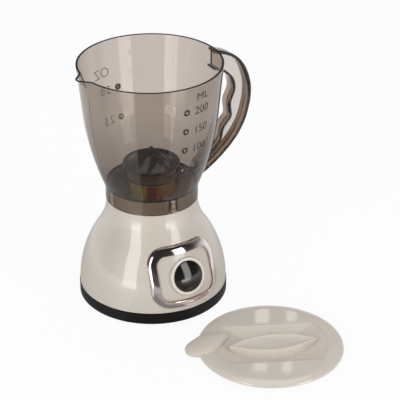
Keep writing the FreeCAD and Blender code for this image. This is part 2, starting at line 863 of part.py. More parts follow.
def circuit_parts():
    """Circuit board on the shell's two posts, its screws, the switch and the button's spring."""
    depth = size.board_depth
    board = new_body("board_body")
    half = size.board_width * 0.4
    pad(board, "XY_Plane", [
        rounded_rectangle(size.board_width / 2, -size.board_height / 2, size.board_height / 2, as_size(2)),
        (half, 0, size.screw_radius + 0.2),
        (-half, 0, size.screw_radius + 0.2),
    ], size.board_thickness)
    node("circuit_board", place(board, panel_at(0, 0, -depth - size.board_thickness), crossways, panel_turn))
    screws = []
    for side in (-1, 1):
        tail = screw(f"board_screw_{side}", panel_at(side * half, 0, -depth - size.board_thickness
                     - size.screw_head_height), size.screw_grip * 0.6, turn=panel_turn)
        screws.append(tail)
    node("board_screws", join("board_screws", *screws))
    case = block("switch_case", size.switch_side, size.switch_side, size.switch_height)
    stud = cylinder("switch_stud", 1.7, 1, at=(0, 0, size.switch_height))
    switch = place(join("switch_joined", case, stud), panel_at(0, 0, -depth), crossways, panel_turn)
    node("tact_switch", switch)
    helix_height = depth + size.button_stand - size.button_wall - 4 * size.spring_wire
    pitch = helix_height / size.spring_turns
    path = Part.makeHelix(pitch.number, helix_height.number, size.spring_radius.number)
    start = Vector(size.spring_radius.number, 0, 0)
    wire = size.spring_wire.number
    corners = [start + Vector(wire * math.cos(turn), 0, wire * math.sin(turn))
               for turn in (math.radians(45 * index) for index in range(8))]
    section = Part.makePolygon(corners + corners[:1])
    coil = Part.Wire(path).makePipeShell([section], True, True)
    node("button_spring", feature("button_spring", coil, panel_at(0, 0, 2 * size.spring_wire - depth),
                                  crossways, panel_turn))


# ---------------------------------------------------------------- motor and gears

def gear_shape(teeth, height, phase):
    """Spur gear with involute flanks, standing on the origin; phase is the turn of its first tooth."""
    module = size.gear_module.number
    pitch_radius = module * teeth / 2
    base = pitch_radius * math.cos(math.radians(20))
    tip = pitch_radius + 0.9 * module
    foot = pitch_radius - 1.2 * module

    def involute(radius):
        angle = math.acos(min(1, base / radius))
        return math.tan(angle) - angle

    half = math.pi / (2 * teeth) - size.gear_backlash.number / (2 * pitch_radius)
    flank = []
    for radius in (max(base, foot), pitch_radius, tip):
        flank.append((radius, half + involute(pitch_radius) - involute(radius)))
    if foot < base:
        flank.insert(0, (foot, flank[0][1]))
    points = []
    for index in range(teeth):
        middle = math.radians(phase + 360 * index / teeth)
        for radius, angle in flank:
            points.append(Vector(radius * math.cos(middle - angle), radius * math.sin(middle - angle), 0))
        for radius, angle in reversed(flank):
            points.append(Vector(radius * math.cos(middle + angle), radius * math.sin(middle + angle), 0))
    outline = Part.makePolygon(points + points[:1])
    return Part.Face(outline).extrude(Vector(0, 0, height.number))


def gear_plates():
    """Two plates on pillars that hold the gears, screwed up under the shell's deck."""
    lower = cylinder("lower_disc", size.gear_plate_radius, size.gear_plate, at=(0, 0, gear_floor))
    upper = cylinder("upper_disc", size.gear_plate_radius, size.gear_plate, at=(0, 0, gear_top))
    pillars = [cylinder(f"pillar_{turn}", size.pillar_radius, size.gear_room,
                        at=(size.pillar_circle * cosine(turn), size.pillar_circle * sine(turn),
                            gear_floor + size.gear_plate)) for turn in pillar_turns]
    reach = 2 * size.gear_plate + size.gear_room
    holes = []
    for level in ("lower", "upper"):
        tools = [cylinder(f"{level}_screw_way_{turn}", size.screw_radius + 0.2, reach,
                          at=(size.pillar_circle * cosine(turn), size.pillar_circle * sine(turn),
                              gear_floor)) for turn in pillar_turns]
        tools.append(cylinder(f"{level}_spindle_way", size.spindle_radius + size.running_gap, reach,
                              at=(0, 0, gear_floor)))
        tools.append(cylinder(f"{level}_axle_way", size.axle_radius, reach,
                              at=(0, wheel_distance, gear_floor)))
        holes.append(tools)
    shaft_way = cylinder("motor_shaft_way", size.motor_shaft_radius + 0.4, size.gear_plate,
                         at=(pinion_across, pinion_back, gear_floor))
    node("gear_frame", cut("gear_frame", join("lower_joined", lower, *pillars), *holes[0], shaft_way))
    node("gear_cover", cut("gear_cover", upper, *holes[1]))
    screws = [screw(f"gear_screw_{turn}",
                    (size.pillar_circle * cosine(turn), size.pillar_circle * sine(turn),
                     gear_floor - size.screw_head_height),
                    size.screw_head_height + reach + size.pillar_radius * 2) for turn in pillar_turns]
    node("gear_screws", join("gear_screws", *screws))
    node("wheel_axle", cylinder("wheel_axle", size.axle_radius, reach, at=(0, wheel_distance, gear_floor)))


def motor_parts():
    """Motor hung under the lower plate, with its shaft and pinion."""
    can_foot = gear_floor - size.motor_length
    can = revolved("motor_can", [
        (0, -2),
        (3, -2),
        (3, 0),
        (size.motor_radius - 0.8, 0),
        (size.motor_radius, 0.8),
        (size.motor_radius, size.motor_length),
        (size.motor_shaft_radius + size.running_gap, size.motor_length),
        (size.motor_shaft_radius + size.running_gap, size.motor_length - 3),
        (0, size.motor_length - 3),
    ])
    node("motor", place(can, (pinion_across, pinion_back, can_foot)))
    gap = 1
    shaft_top = gear_floor + size.gear_plate + gap + size.lower_wheel_height + 2
    shaft = cylinder("motor_shaft_rod", size.motor_shaft_radius, shaft_top - gear_floor + 2.8,
                     at=(pinion_across, pinion_back, gear_floor - 2.8))
    node("motor_shaft", shaft)
    teeth = int(size.pinion_teeth.number)
    height = size.lower_wheel_height + 2
    shape = gear_shape(teeth, height, size.train_turn.number - 180 + 180 / teeth)
    shape = shape.cut(Part.makeCylinder(size.motor_shaft_radius.number, height.number))
    node("motor_pinion", feature("motor_pinion", shape,
                                 (pinion_across, pinion_back, gear_floor + size.gear_plate + gap)))


def gear_wheels():
    """Two-step wheel on its axle, and the final gear that turns the spindle."""
    foot = gear_floor + size.gear_plate
    wheel_teeth, small_teeth = int(size.wheel_teeth.number), int(size.pinion_teeth.number)
    lower_gap, upper_gap = 0.3, 0.3
    hub_height = size.gear_room - lower_gap - upper_gap
    wheel = gear_shape(wheel_teeth, size.lower_wheel_height, size.train_turn.number)
    wheel.translate(Vector(0, 0, 2))
    small = gear_shape(small_teeth, size.final_height + 3, -90)
    small.translate(Vector(0, 0, 2 + size.lower_wheel_height.number))
    hub = Part.makeCylinder(size.axle_radius.number + 1.4, hub_height.number)
    bore = Part.makeCylinder(size.axle_radius.number + size.running_gap.number, hub_height.number)
    step_wheel = wheel.fuse([small, hub]).cut(bore).removeSplitter()
    node("step_wheel", feature("step_wheel", step_wheel, (0, wheel_distance, foot + lower_gap)))
    final_teeth = int(size.final_teeth.number)
    final_foot = foot + lower_gap + 2 + size.lower_wheel_height + 1.6
    final = gear_shape(final_teeth, size.final_height, 90 + 180 / final_teeth)
    hub_top = gear_top - upper_gap
    hub = Part.makeCylinder(size.spindle_radius.number + 1.8, (hub_top - final_foot).number)
    bore = Part.makeCylinder(size.spindle_radius.number, (hub_top - final_foot).number)
    node("final_gear", feature("final_gear", final.fuse(hub).cut(bore).removeSplitter(), (0, 0, final_foot)))


def drive_spindle():
    """Upright shaft with a hexagon at its top that enters the jug's socket."""
    foot = gear_floor + 0.2
    rod = cylinder("spindle_rod", size.spindle_radius, drive_foot - foot, at=(0, 0, foot))
    hexagon = primitive("Prism", "spindle_hexagon", at=(0, 0, drive_foot),
                        Circumradius=size.drive_flats / math.sqrt(3), Height=size.drive_height)
    hexagon.Polygon = 6
    node("drive_spindle", join("drive_spindle", rod, hexagon))
    bush = revolved("bush_body", [
        (size.spindle_radius + size.running_gap, deck_under),
        (size.bush_radius, deck_under),
        (size.bush_radius, deck_top),
        (size.bush_radius + 1.6, deck_top),
        (size.bush_radius + 1.6, deck_top + 1),
        (size.spindle_radius + size.running_gap, deck_top + 1),
    ])
    node("spindle_bush", bush)


# ---------------------------------------------------------------- lamp drum

def lamp_parts():
    """Coloured drum of four lens sectors on the deck, with its board, lamps and dark cap."""
    top = deck_top + size.drum_height
    foot = size.drum_foot_radius
    wall = size.drum_wall
    head = size.drum_top_radius
    rise = size.drum_height
    bead = rise * 0.36
    bead_radius = foot + (head - foot) * 0.36
    board_top = deck_top + 1.2
    node("lamp_board", cut("lamp_board",
                           cylinder("lamp_board_disc", foot - wall - 0.3, 1.2, at=(0, 0, deck_top)),
                           cylinder("lamp_board_hole", size.bush_radius + 2, 1.2, at=(0, 0, deck_top))))
    lamps = []
    for turn in (-150, -30, 90):
        lamp = revolved(f"led_{turn}", [
            (0, 0),
            (size.led_radius + 0.4, 0),
            (size.led_radius + 0.4, 0.8),
            (size.led_radius, 0.8),
            (size.led_radius, 3.2, size.led_radius, 1),
            (0, 3.2 + size.led_radius),
        ])
        lamps.append(place(lamp, (size.led_circle * cosine(turn), size.led_circle * sine(turn), board_top)))
    node("lamps", join("lamps", *lamps))
    sectors = {
        "lens_yellow": [(180, 228.5)],
        "lens_red": [(228.5, 251.5), (328.5, 470)],
        "lens_amber": [(251.5, 328.5)],
        "lens_clear": [(110, 180)],
    }
    for name, spans in sectors.items():
        pieces = []
        for index, (start, stop) in enumerate(spans):
            body = new_body(f"{name}_{index}")
            sketch = body_sketch(body, "XZ_Plane", [[
                (foot - wall, deck_top),
                (foot + 1.2, deck_top),
                (foot + 1.2, deck_top + 1),
                (foot + 0.1, deck_top + 1),
                (bead_radius, deck_top + bead - 0.5),
                (bead_radius + 0.5, deck_top + bead),
                (bead_radius, deck_top + bead + 0.5),
                (head, top),
                (head - wall, top),
            ]])
            turned = body.newObject("PartDesign::Revolution", f"{name}_{index}_revolution")
            turned.Profile = sketch
            turned.ReferenceAxis = (sketch, ["V_Axis"])
            turned.Angle = stop - start
            body.Tip = turned
            pieces.append(place(body, (0, 0, 0), turn=start))
        whole = pieces[0] if len(pieces) == 1 else join(name, *pieces)
        node(name, whole)
    cap = revolved("lamp_cap_body", [
        (size.socket_radius + 0.8, top),
        (head, top),
        (head, top + size.drum_cap - 0.4),
        (head - 0.4, top + size.drum_cap),
        (size.socket_radius + 0.8, top + size.drum_cap),
    ])
    node("lamp_cap", cap)


# ---------------------------------------------------------------- jug

def jug_side(inset):
    """The jug's side from its foot: a long arc to the waist, then a straight flare to the rim."""
    return [
        (jug_floor_radius - inset, jug_foot, size.jug_curve + inset, 1),
        (size.jug_waist_radius - inset, waist_height),
        (size.rim_radius - inset, jug_rim),
    ]


def filled_jug(name):
    """The space inside the jug's outer face."""
    return revolved(name, [(0, collar_foot), (collar_radius, collar_foot),
                           (collar_radius, jug_foot)] + jug_side(0) + [(0, jug_rim)])


def lip_wedge(name, inset, top):
    """V-shaped channel of the pouring lip, whose rounded nose leans out from the wall towards the rim."""
    spread = size.lip_spread
    sections = []
    for level, reach, nose in (
            (top, size.rim_radius + size.lip_reach, size.lip_nose),
            (jug_rim - size.lip_depth, size.rim_radius - 1.5, size.lip_nose / 2)):
        bend = nose - inset
        root = reach - nose - size.lip_root
        shoulder = reach - nose + bend * sine(spread)
        half_shoulder = bend * cosine(spread)
        half_root = half_shoulder + (shoulder - root) * sine(spread) / cosine(spread)
        sketch = doc.addObject("Sketcher::SketchObject", f"{name}_section")
        place(sketch, (0, 0, level))
        closed_outline(sketch, [
            (-root, -half_root),
            (-root, half_root),
            (-shoulder, half_shoulder, bend, 1),
            (-shoulder, -half_shoulder),
        ])
        sections.append(sketch)
    return loft(name, sections)


def jug():
    """Clear jug: keyed collar, floor with a raised hub, flared side and pouring lip."""
    wall = size.jug_wall
    spill = 1
    outside = filled_jug("jug_outside")
    side = jug_side(wall)
    inside = revolved("jug_inside", [
        (0, hub_top),
        (hub_radius + size.hub_wall, hub_top),
        (hub_radius + size.hub_wall, floor_top),
        (side[0][0], floor_top),
        (side[0][0], jug_foot, size.jug_curve + wall, 1),
        side[1],
        side[2],
        (size.rim_radius - wall, jug_rim + spill),
        (0, jug_rim + spill),
    ])
    below = revolved("jug_below", [
        (0, collar_foot - spill),
        (neck_radius + size.key_clearance, collar_foot - spill),
        (neck_radius + size.key_clearance, floor_under),
        (hub_radius, floor_under),
        (hub_radius, hub_under),
        (0, hub_under),
    ])
    reach = size.key_depth + size.key_clearance
    half = size.key_width / 2 + size.key_clearance
    keyways = [
        primitive("Box", f"keyway_{turn}",
                  at=(neck_radius * cosine(turn) + half * sine(turn),
                      neck_radius * sine(turn) - half * cosine(turn), collar_foot - spill),
                  turn=turn, Length=reach, Width=2 * half, Height=floor_under - collar_foot + spill)
        for turn in (0, 90, 180, 270)
    ]
    shaft_way = cylinder("reamer_way", size.cone_shaft_radius + 1.5, size.hub_wall + 2, at=(0, 0, hub_under - 1))
    lip_outside = lip_wedge("lip_outside", as_size(0), jug_rim)
    lip_inside = lip_wedge("lip_inside", wall, jug_rim + 0.01)
    body = cut("jug_open", join("jug_joined", outside, lip_outside), inside, lip_inside, below,
               *keyways, shaft_way)
    return node("jug", body)


def wave_band(wave, thickness):
    """Face that follows a curve in the XZ plane with the same thickness all along."""
    count = 2 * len(GRIP_LINE) - 1
    sides = {-1: [], 1: []}
    for index in range(count):
        along = wave.FirstParameter + (wave.LastParameter - wave.FirstParameter) * index / (count - 1)
        direction = wave.tangent(along)[0]
        square = Vector(-direction.z, 0, direction.x)
        for side, points in sides.items():
            points.append(wave.value(along) + square * (side * thickness / 2))
    edges = []
    for points in sides.values():
        curve = Part.BSplineCurve()
        curve.interpolate(points)
        edges.append(curve.toShape())
    ends = [Part.makeLine(sides[-1][index], sides[1][index]) for index in (-1, 0)]
    return Part.Face(Part.Wire(Part.sortEdges(edges + ends)[0]))


def handle():
    """I-section handle: an outer bow, a finger-waved inner flange and a thin web between them."""
    reach, crown = handle_reach, handle_crown
    top, low, flange = size.handle_top_curve, size.handle_low_curve, size.handle_flange
    foot_turn = 78
    bow = new_body("bow_body")
    pad(bow, "XZ_Plane", [[
        (reach - top, crown + top - flange, top - flange, -1),
        (reach - flange, crown, low - flange, -1),
        (reach - low + (low - flange) * cosine(foot_turn), crown - (low - flange) * sine(foot_turn)),
        (reach - low + low * cosine(foot_turn), crown - low * sine(foot_turn), low, 1),
        (reach, crown, top, 1),
        (reach - top, crown + top),
    ]], size.handle_depth, both=True)

    depth = size.handle_depth.number
    across, up = reach.number, crown.number
    line = [Vector(across - inwards, -depth / 2, up + upwards) for inwards, upwards in GRIP_LINE]
    wave = Part.BSplineCurve()
    wave.interpolate(line)
    wave_edge = wave.toShape()
    grip = feature("grip_flange", wave_band(wave, size.grip_flange.number).extrude(Vector(0, depth, 0)))

    web_depth = size.handle_web.number
    curve_top = top.number - flange.number / 2
    curve_low = low.number - flange.number / 2
    middle = Vector(across - flange.number / 2, -depth / 2, up)
    high = Vector(across - top.number, -depth / 2, up + curve_top)
    half_turn, foot = math.radians(45), math.radians(foot_turn)
    high_way = Vector(across - top.number + curve_top * math.cos(half_turn), -depth / 2,
                      up + curve_top * math.sin(half_turn))
    low_way = Vector(across - low.number + curve_low * math.cos(foot / 2), -depth / 2,
                     up - curve_low * math.sin(foot / 2))
    deep = Vector(across - low.number + curve_low * math.cos(foot), -depth / 2,
                  up - curve_low * math.sin(foot))
    outline = Part.Wire([
        wave_edge,
        Part.makeLine(line[-1], deep),
        Part.Arc(deep, low_way, middle).toShape(),
        Part.Arc(middle, high_way, high).toShape(),
        Part.makeLine(high, line[0]),
    ])
    web_shape = Part.Face(outline).extrude(Vector(0, web_depth, 0))
    web = feature("handle_web", web_shape, (0, (depth - web_depth) / 2, 0))
    solid = join("handle_joined", bow, grip, web)
    return node("handle", cut("handle", solid, filled_jug("handle_seat")))


# ---------------------------------------------------------------- juicer cone

def star(name, radius, waist, height, turn):
    """Star-shaped section with one point for each ridge of the cone."""
    count = 2 * int(size.cone_fins.number)
    sketch = doc.addObject("Sketcher::SketchObject", name)
    corners = []
    for index in range(count):
        spread = radius if index % 2 == 0 else waist
        corners.append((spread * cosine(360 * index / count), spread * sine(360 * index / count)))
    closed_outline(sketch, corners)
    return place(sketch, (0, 0, height), turn=turn)


def reamer_parts():
    """Juicer cone on its shaft, whose socket takes the base's hexagon; a clip keeps it in the jug."""
    rim, foot, wall = size.cone_radius, cone_foot, size.cone_rim_wall
    top = foot + size.cone_rim_height
    dish = top - 0.8
    bowl = revolved("cone_bowl", [
        (rim - size.cone_dish - wall, foot),
        (rim - size.cone_dish, foot),
        (rim, foot + size.cone_dish),
        (rim, top - 0.8),
        (rim - 0.8, top),
        (rim - 1.6, top),
        (rim - 2.4, dish),
        (0, dish),
        (0, dish - wall),
        (rim - wall, dish - wall),
        (rim - wall, foot + size.cone_dish + 0.6),
    ])
    rise = cone_apex - dish
    ridges = loft("cone_ridges", [
        star("ridge_foot", rim - 2, (rim - 2) * 0.4, dish - 0.6, 12),
        star("ridge_waist", rim * 0.56, rim * 0.27, dish + rise * 0.22, 4),
        star("ridge_neck", rim * 0.27, rim * 0.17, dish + rise * 0.6, 0),
        star("ridge_head", rim * 0.1, rim * 0.075, cone_apex - 1.2, -4),
    ])
    knob = primitive("Sphere", "cone_knob", at=(0, 0, cone_apex - 2.2), Radius=2.2)
    boss_foot = hub_top + 2
    boss = cylinder("cone_boss", size.cone_shaft_radius + 2.2, dish - boss_foot, at=(0, 0, boss_foot))
    shaft_top = dish - 0.4
    way = cylinder("cone_shaft_way", size.cone_shaft_radius, shaft_top - boss_foot, at=(0, 0, boss_foot))
    node("reamer", cut("reamer", join("cone_joined", bowl, ridges, knob, boss), way))

    socket_top = hub_under - size.jug_seat_gap
    socket_foot = drive_foot + 1.3
    shaft = cylinder("shaft_rod", size.cone_shaft_radius, shaft_top - socket_top + 1, at=(0, 0, socket_top - 1))
    sleeve = cylinder("socket_sleeve", size.socket_radius, socket_top - socket_foot, at=(0, 0, socket_foot))
    hexagon = primitive("Prism", "socket_hexagon", at=(0, 0, socket_foot - 1),
                        Circumradius=(size.drive_flats + 2 * size.socket_gap) / math.sqrt(3),
                        Height=drive_top + 0.3 - socket_foot + 1)
    hexagon.Polygon = 6
    groove = cut("clip_groove", cylinder("groove_outside", size.cone_shaft_radius + 1, 0.9,
                                         at=(0, 0, hub_top + 0.95)),
                 cylinder("groove_inside", size.cone_shaft_radius - 0.5, 0.9, at=(0, 0, hub_top + 0.95)))
    node("reamer_shaft", cut("reamer_shaft", join("shaft_joined", shaft, sleeve), hexagon, groove))
    clip = cut("shaft_clip",
               cylinder("clip_disc", size.cone_shaft_radius + 2, 0.8, at=(0, 0, hub_top + 1)),
               cylinder("clip_way", size.cone_shaft_radius - 0.48, 0.8, at=(0, 0, hub_top + 1)),
               block("clip_mouth", 12, 3.2, 0.8, at=(6, 0, hub_top + 1)))
    node("shaft_clip", clip)
    bush_bore = size.cone_shaft_radius + size.running_gap
    bush = revolved("reamer_bush_body", [
        (bush_bore, hub_under),
        (size.cone_shaft_radius + 1.5, hub_under),
        (size.cone_shaft_radius + 1.5, hub_top),
        (size.cone_shaft_radius + 2.4, hub_top),
        (size.cone_shaft_radius + 2.4, hub_top + 0.8),
        (bush_bore, hub_top + 0.8),
    ])
    node("reamer_bush", bush)


# ---------------------------------------------------------------- lid

def valley(name, spare=0):
    """Hollow across the lid with a round bottom and a low step round its brim, grown by a wall."""
    half_length, half_width = size.valley_half_length, size.valley_half_width
    brim = size.lid_facet_height - size.valley_step
    depth = brim - size.valley_floor
    barrel = (half_width * half_width + depth * depth) / (2 * depth)
    ball = (half_length * half_length + depth * depth) / (2 * depth)
    length = 2 * lid_radius
    trough = cylinder(f"{name}_barrel", barrel + spare, length,
                      at=(-length / 2, 0, size.valley_floor + barrel), axis=Vector(0, 1, 0), turn=90)
    bowl = primitive("Sphere", f"{name}_ball", at=(0, 0, size.valley_floor + ball), Radius=ball + spare)
    below_brim = block(f"{name}_depth", length, length, 2 * brim, at=(0, 0, -brim))
    slab = block(f"{name}_slab", length, 2 * (half_width + spare), brim, at=(0, 0, brim))
    disc = cylinder(f"{name}_disc", half_length + spare, brim, at=(0, 0, brim))
    hollow = join(name, overlap(f"{name}_round", trough, bowl, below_brim),
                  overlap(f"{name}_brim", slab, disc))
    return place(hollow, (0, size.valley_aside, 0), turn=size.valley_turn)


def pointed_oval(name, half_length, half_width, height):
    """Leaf-shaped section of two arcs, on the grip's middle."""
    curve = (half_length * half_length + half_width * half_width) / (2 * half_width)
    sketch = doc.addObject("Sketcher::SketchObject", name)
    closed_outline(sketch, [(half_length, 0, curve, 1), (-half_length, 0, curve, 1)])
    return place(sketch, (size.grip_along, size.grip_aside, height))


def leaf(name, foot, head, inset=0):
    """Leaf-shaped block with leaning sides, pulled in by an inset."""
    return loft(name, [
        pointed_oval(f"{name}_foot", size.grip_foot_half_length - 2 * inset,
                     size.grip_foot_half_width - inset, foot),
        pointed_oval(f"{name}_head", size.grip_half_length - 2 * inset, size.grip_half_width - inset, head),
    ])


def leaf_grip():
    """Grip of the lid: a leaf with leaning sides, a dished top and a rounded edge."""
    top = size.grip_top
    dish = loft("grip_dish", [
        pointed_oval(f"dish_{index}", size.grip_half_length - 2 * inset, size.grip_half_width - inset, level)
        for index, (inset, level) in enumerate((
            (1.4, top + 0.05),
            (2.6, top - size.grip_dish * 0.4),
            (5.0, top - size.grip_dish * 0.8),
            (8.2, top - size.grip_dish)))
    ], ruled=False)
    dished = cut("grip_dished", leaf("grip_block", size.valley_floor, top), dish)
    doc.recompute()
    rounded = doc.addObject("Part::Fillet", "grip_rounded")
    rounded.Base = dished
    radius = size.grip_round.number
    rounded.Edges = [(index, radius, radius) for index, edge in enumerate(dished.Shape.Edges, start=1)
                     if edge.BoundBox.ZMin > top.number - 0.1]
    return rounded


def tongue():
    """Thumb-shaped cover of the pouring lip."""
    return loft("tongue", [
        primitive("Ellipse", f"tongue_{index}", at=(tongue_reach - inwards, aside, level),
                  axis=Vector(1, 1, 1), turn=120, MajorRadius=half_width, MinorRadius=rise)
        for index, (inwards, aside, half_width, level, rise) in enumerate(TONGUE_LINE)
    ], ruled=False)


def lid():
    """Lid: skirt, rolled edge, a valley across the top with a leaf-shaped grip in it, and a lip cover."""
    edge, skirt, round_edge = lid_radius, lid_skirt_radius, size.lid_edge
    skirt_foot = skirt - size.lid_skirt_taper
    seat, thick = size.lid_skirt_depth, size.lid_wall
    crown = size.lid_crown
    shoulder = (edge - round_edge + round_edge * cosine(75), seat + 0.5 + round_edge * sine(75))
    dome = (lid_facet_radius * lid_facet_radius) / (2 * (crown - size.lid_facet_height))
    solid = revolved("lid_outside", [
        (0, 0),
        (skirt_foot, 0),
        (skirt, seat),
        (edge - 0.5, seat),
        (edge, seat + 0.5, round_edge, 1),
        (*shoulder, 10 * round_edge, 1),
        (lid_facet_radius, size.lid_facet_height, dome, 1),
        (0, crown),
    ])
    hollow = revolved("lid_hollow", [
        (0, -1),
        (skirt_foot - thick, -1),
        (skirt_foot - thick, 0),
        (skirt - thick, seat),
        (lid_facet_radius - 0.4, size.lid_facet_height - thick),
        (0, crown - thick),
    ])
    grip_base = loft("grip_base", [
        pointed_oval(f"grip_base_{level}", size.grip_foot_half_length, size.grip_foot_half_width, level)
        for level in (-2, 4)
    ])
    skin = cut("lid_skin", solid, valley("lid_valley"))
    under = cut("lid_under", hollow, valley("valley_wall", thick), grip_base)
    grip_hollow = leaf("grip_hollow", as_size(-1), size.grip_top - size.grip_dish - thick, thick)
    below_seat = block("tongue_floor", 4 * lid_radius, 4 * lid_radius, 2 * seat, at=(0, 0, -seat))
    cover = cut("lid_tongue", tongue(), below_seat)
    room = primitive("Ellipsoid", "lip_room_egg", at=(tongue_reach - 15, -6.6, seat),
                     Radius1=3.8, Radius2=11, Radius3=9)
    cover_hollow = cut("lip_room", room, below_seat)
    opened = cut("lid_opened", join("lid_raised", skin, leaf_grip(), cover), under, grip_hollow)
    body = cut("lid", opened, cover_hollow)
    return node("lid", place(body, (size.lid_across, -size.lid_forward, 0), turn=size.lid_turn))


# ---------------------------------------------------------------- build, check and write

for build in (base_shell, foot_ring, base_plate, base_screws, battery_parts, speaker, panel_bezel,
              button_collar, push_button, circuit_parts, gear_plates, motor_parts, gear_wheels,
              drive_spindle, lamp_parts, jug, handle, reamer_parts, lid):
    build()
doc.recompute()

for obj in doc.Objects:
    if "Invalid" in obj.State or "Error" in obj.State:
        raise RuntimeError(f"{obj.Label} did not rebuild")

os.makedirs("parts", exist_ok=True)
for piece in nodes:
    if piece.Shape.isNull() or not piece.Shape.isValid():
        raise RuntimeError(f"{piece.Label} has no sound shape")
    piece.Shape.exportStep(f"parts/{piece.Label}.step")
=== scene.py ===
"""Looks for the toy blender: cream base, bright panel frame, smoke-clear jug, juicer cone and lid."""
import bmesh
import bpy
import json
import math
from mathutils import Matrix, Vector
from mathutils.bvhtree import BVHTree


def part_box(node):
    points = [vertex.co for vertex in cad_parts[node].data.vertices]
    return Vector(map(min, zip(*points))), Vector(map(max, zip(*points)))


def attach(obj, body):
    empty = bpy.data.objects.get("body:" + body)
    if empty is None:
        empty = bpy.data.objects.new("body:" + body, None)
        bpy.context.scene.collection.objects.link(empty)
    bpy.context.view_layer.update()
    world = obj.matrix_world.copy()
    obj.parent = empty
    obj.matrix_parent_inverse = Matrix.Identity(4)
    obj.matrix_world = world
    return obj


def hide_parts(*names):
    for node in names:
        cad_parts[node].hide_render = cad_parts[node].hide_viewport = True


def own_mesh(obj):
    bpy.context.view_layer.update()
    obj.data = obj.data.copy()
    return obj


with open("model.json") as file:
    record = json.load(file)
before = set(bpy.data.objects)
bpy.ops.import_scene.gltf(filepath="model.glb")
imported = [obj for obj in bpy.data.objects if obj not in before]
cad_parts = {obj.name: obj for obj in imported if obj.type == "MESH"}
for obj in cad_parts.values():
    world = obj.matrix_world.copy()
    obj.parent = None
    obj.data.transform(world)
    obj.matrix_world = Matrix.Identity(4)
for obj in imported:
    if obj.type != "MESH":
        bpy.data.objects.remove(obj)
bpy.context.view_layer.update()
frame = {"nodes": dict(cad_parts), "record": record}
nodes = frame["nodes"]
MM = 0.001
MICRON = 0.000001
PATTERN_LOW, PATTERN_HIGH = 0.3, 0.7    # most of a noise pattern's values lie between these


# ---------------------------------------------------------------- places and directions

def low(node):
    """Lowest corner of a CAD node."""
    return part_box(node)[0]


def high(node):
    """Highest corner of a CAD node."""
    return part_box(node)[1]


def towards(azimuth):
    """Level direction of length one, azimuth in degrees from +X."""
    turn = math.radians(azimuth)
    return Vector((math.cos(turn), math.sin(turn), 0))


# ---------------------------------------------------------------- node trees

class Graph:
    """A tree of shader nodes, with short calls for the steps that finishes and room light need."""

    def __init__(self, tree):
        self.tree = tree

    def node(self, kind, **values):
        """A node with named properties or input values set."""
        made = self.tree.nodes.new(kind)
        for name, value in values.items():
            label = name.replace("_", " ").title()
            if label in made.inputs:
                made.inputs[label].default_value = value
            else:
                setattr(made, name, value)
        return made

    def join(self, part, socket):
        """Link a socket to another node's output, or give it a plain value."""
        if isinstance(part, bpy.types.NodeSocket):
            self.tree.links.new(part, socket)
        else:
            socket.default_value = part

    def worked_out(self, kind, operation, parts):
        """The node that does one step of arithmetic on numbers or vectors."""
        made = self.node(kind, operation=operation)
        for part, socket in zip(parts, made.inputs):
            self.join(part, socket)
        return made

    def number(self, operation, *parts):
        """A number worked out from numbers."""
        return self.worked_out("ShaderNodeMath", operation, parts).outputs["Value"]

    def measure(self, operation, *parts):
        """A number worked out from vectors, such as a length."""
        return self.worked_out("ShaderNodeVectorMath", operation, parts).outputs["Value"]

    def vector(self, operation, *parts):
        """A vector worked out from vectors."""
        return self.worked_out("ShaderNodeVectorMath", operation, parts).outputs["Vector"]

    def spread(self, source, first, last, start=PATTERN_LOW, stop=PATTERN_HIGH, eased=False):
        """Stretch the range from start to stop to two values, with soft ends where eased."""
        made = self.node("ShaderNodeMapRange", from_min=start, from_max=stop, to_min=first, to_max=last,
                         interpolation_type="SMOOTHSTEP" if eased else "LINEAR")
        self.join(source, made.inputs["Value"])
        return made.outputs["Result"]

    def between(self, share, first, second):
        """A number that goes from the first to the second as the share goes from 0 to 1."""
        made = self.node("ShaderNodeMix")
        for part, socket in ((share, "Factor"), (first, "A"), (second, "B")):
            self.join(part, made.inputs[socket])
        return made.outputs["Result"]


class Recipe(Graph):
    """A material's node tree, with the patterns that a moulded or plated finish needs."""

    def __init__(self, name):
        self.material = bpy.data.materials.new(name)
        self.material.use_nodes = True
        super().__init__(self.material.node_tree)
        self.shader = self.tree.nodes["Principled BSDF"]
        self.output = self.tree.nodes["Material Output"]
        self.place = self.node("ShaderNodeTexCoord").outputs["Object"]

    def set(self, **parts):
        """Set or link the shader's own sockets."""
        for name, part in parts.items():
            self.join(part, self.shader.inputs[name.replace("_", " ")])

    def noise(self, scale, detail, roughness, stretch=None):
        """Noise over the piece in object space, scale in features per metre."""
        made = self.node("ShaderNodeTexNoise", scale=scale, detail=detail, roughness=roughness)
        place = self.place
        if stretch:
            mapping = self.node("ShaderNodeMapping", scale=stretch)
            self.join(place, mapping.inputs["Vector"])
            place = mapping.outputs["Vector"]
        self.join(place, made.inputs["Vector"])
        return made.outputs["Fac"]

    def shade(self, source, first, second):
        """Blend two colours by a pattern."""
        ramp = self.node("ShaderNodeValToRGB")
        stops = ((PATTERN_LOW, first), (PATTERN_HIGH, second))
        for element, (position, colour) in zip(ramp.color_ramp.elements, stops):
            element.position = position
            element.color = (*colour, 1)
        self.join(source, ramp.inputs["Fac"])
        return ramp.outputs["Color"]

    def bump(self, source, height, strength=1.0):
        """Raise the surface by a pattern, height in metres."""
        made = self.node("ShaderNodeBump", strength=strength, distance=height)
        self.join(source, made.inputs["Height"])
        return made.outputs["Normal"]

    def surface(self, share, first, second):
        """Send two shaders to the surface, mixed by a share."""
        mix = self.node("ShaderNodeMixShader")
        self.join(share, mix.inputs["Fac"])
        self.join(first, mix.inputs[1])
        self.join(second, mix.inputs[2])
        self.join(mix.outputs["Shader"], self.output.inputs["Surface"])


# ---------------------------------------------------------------- finishes

PLASTIC_IOR = 1.5


def tint(colour, factor):
    """A colour made lighter or darker."""
    return tuple(min(1, part * factor) for part in colour)


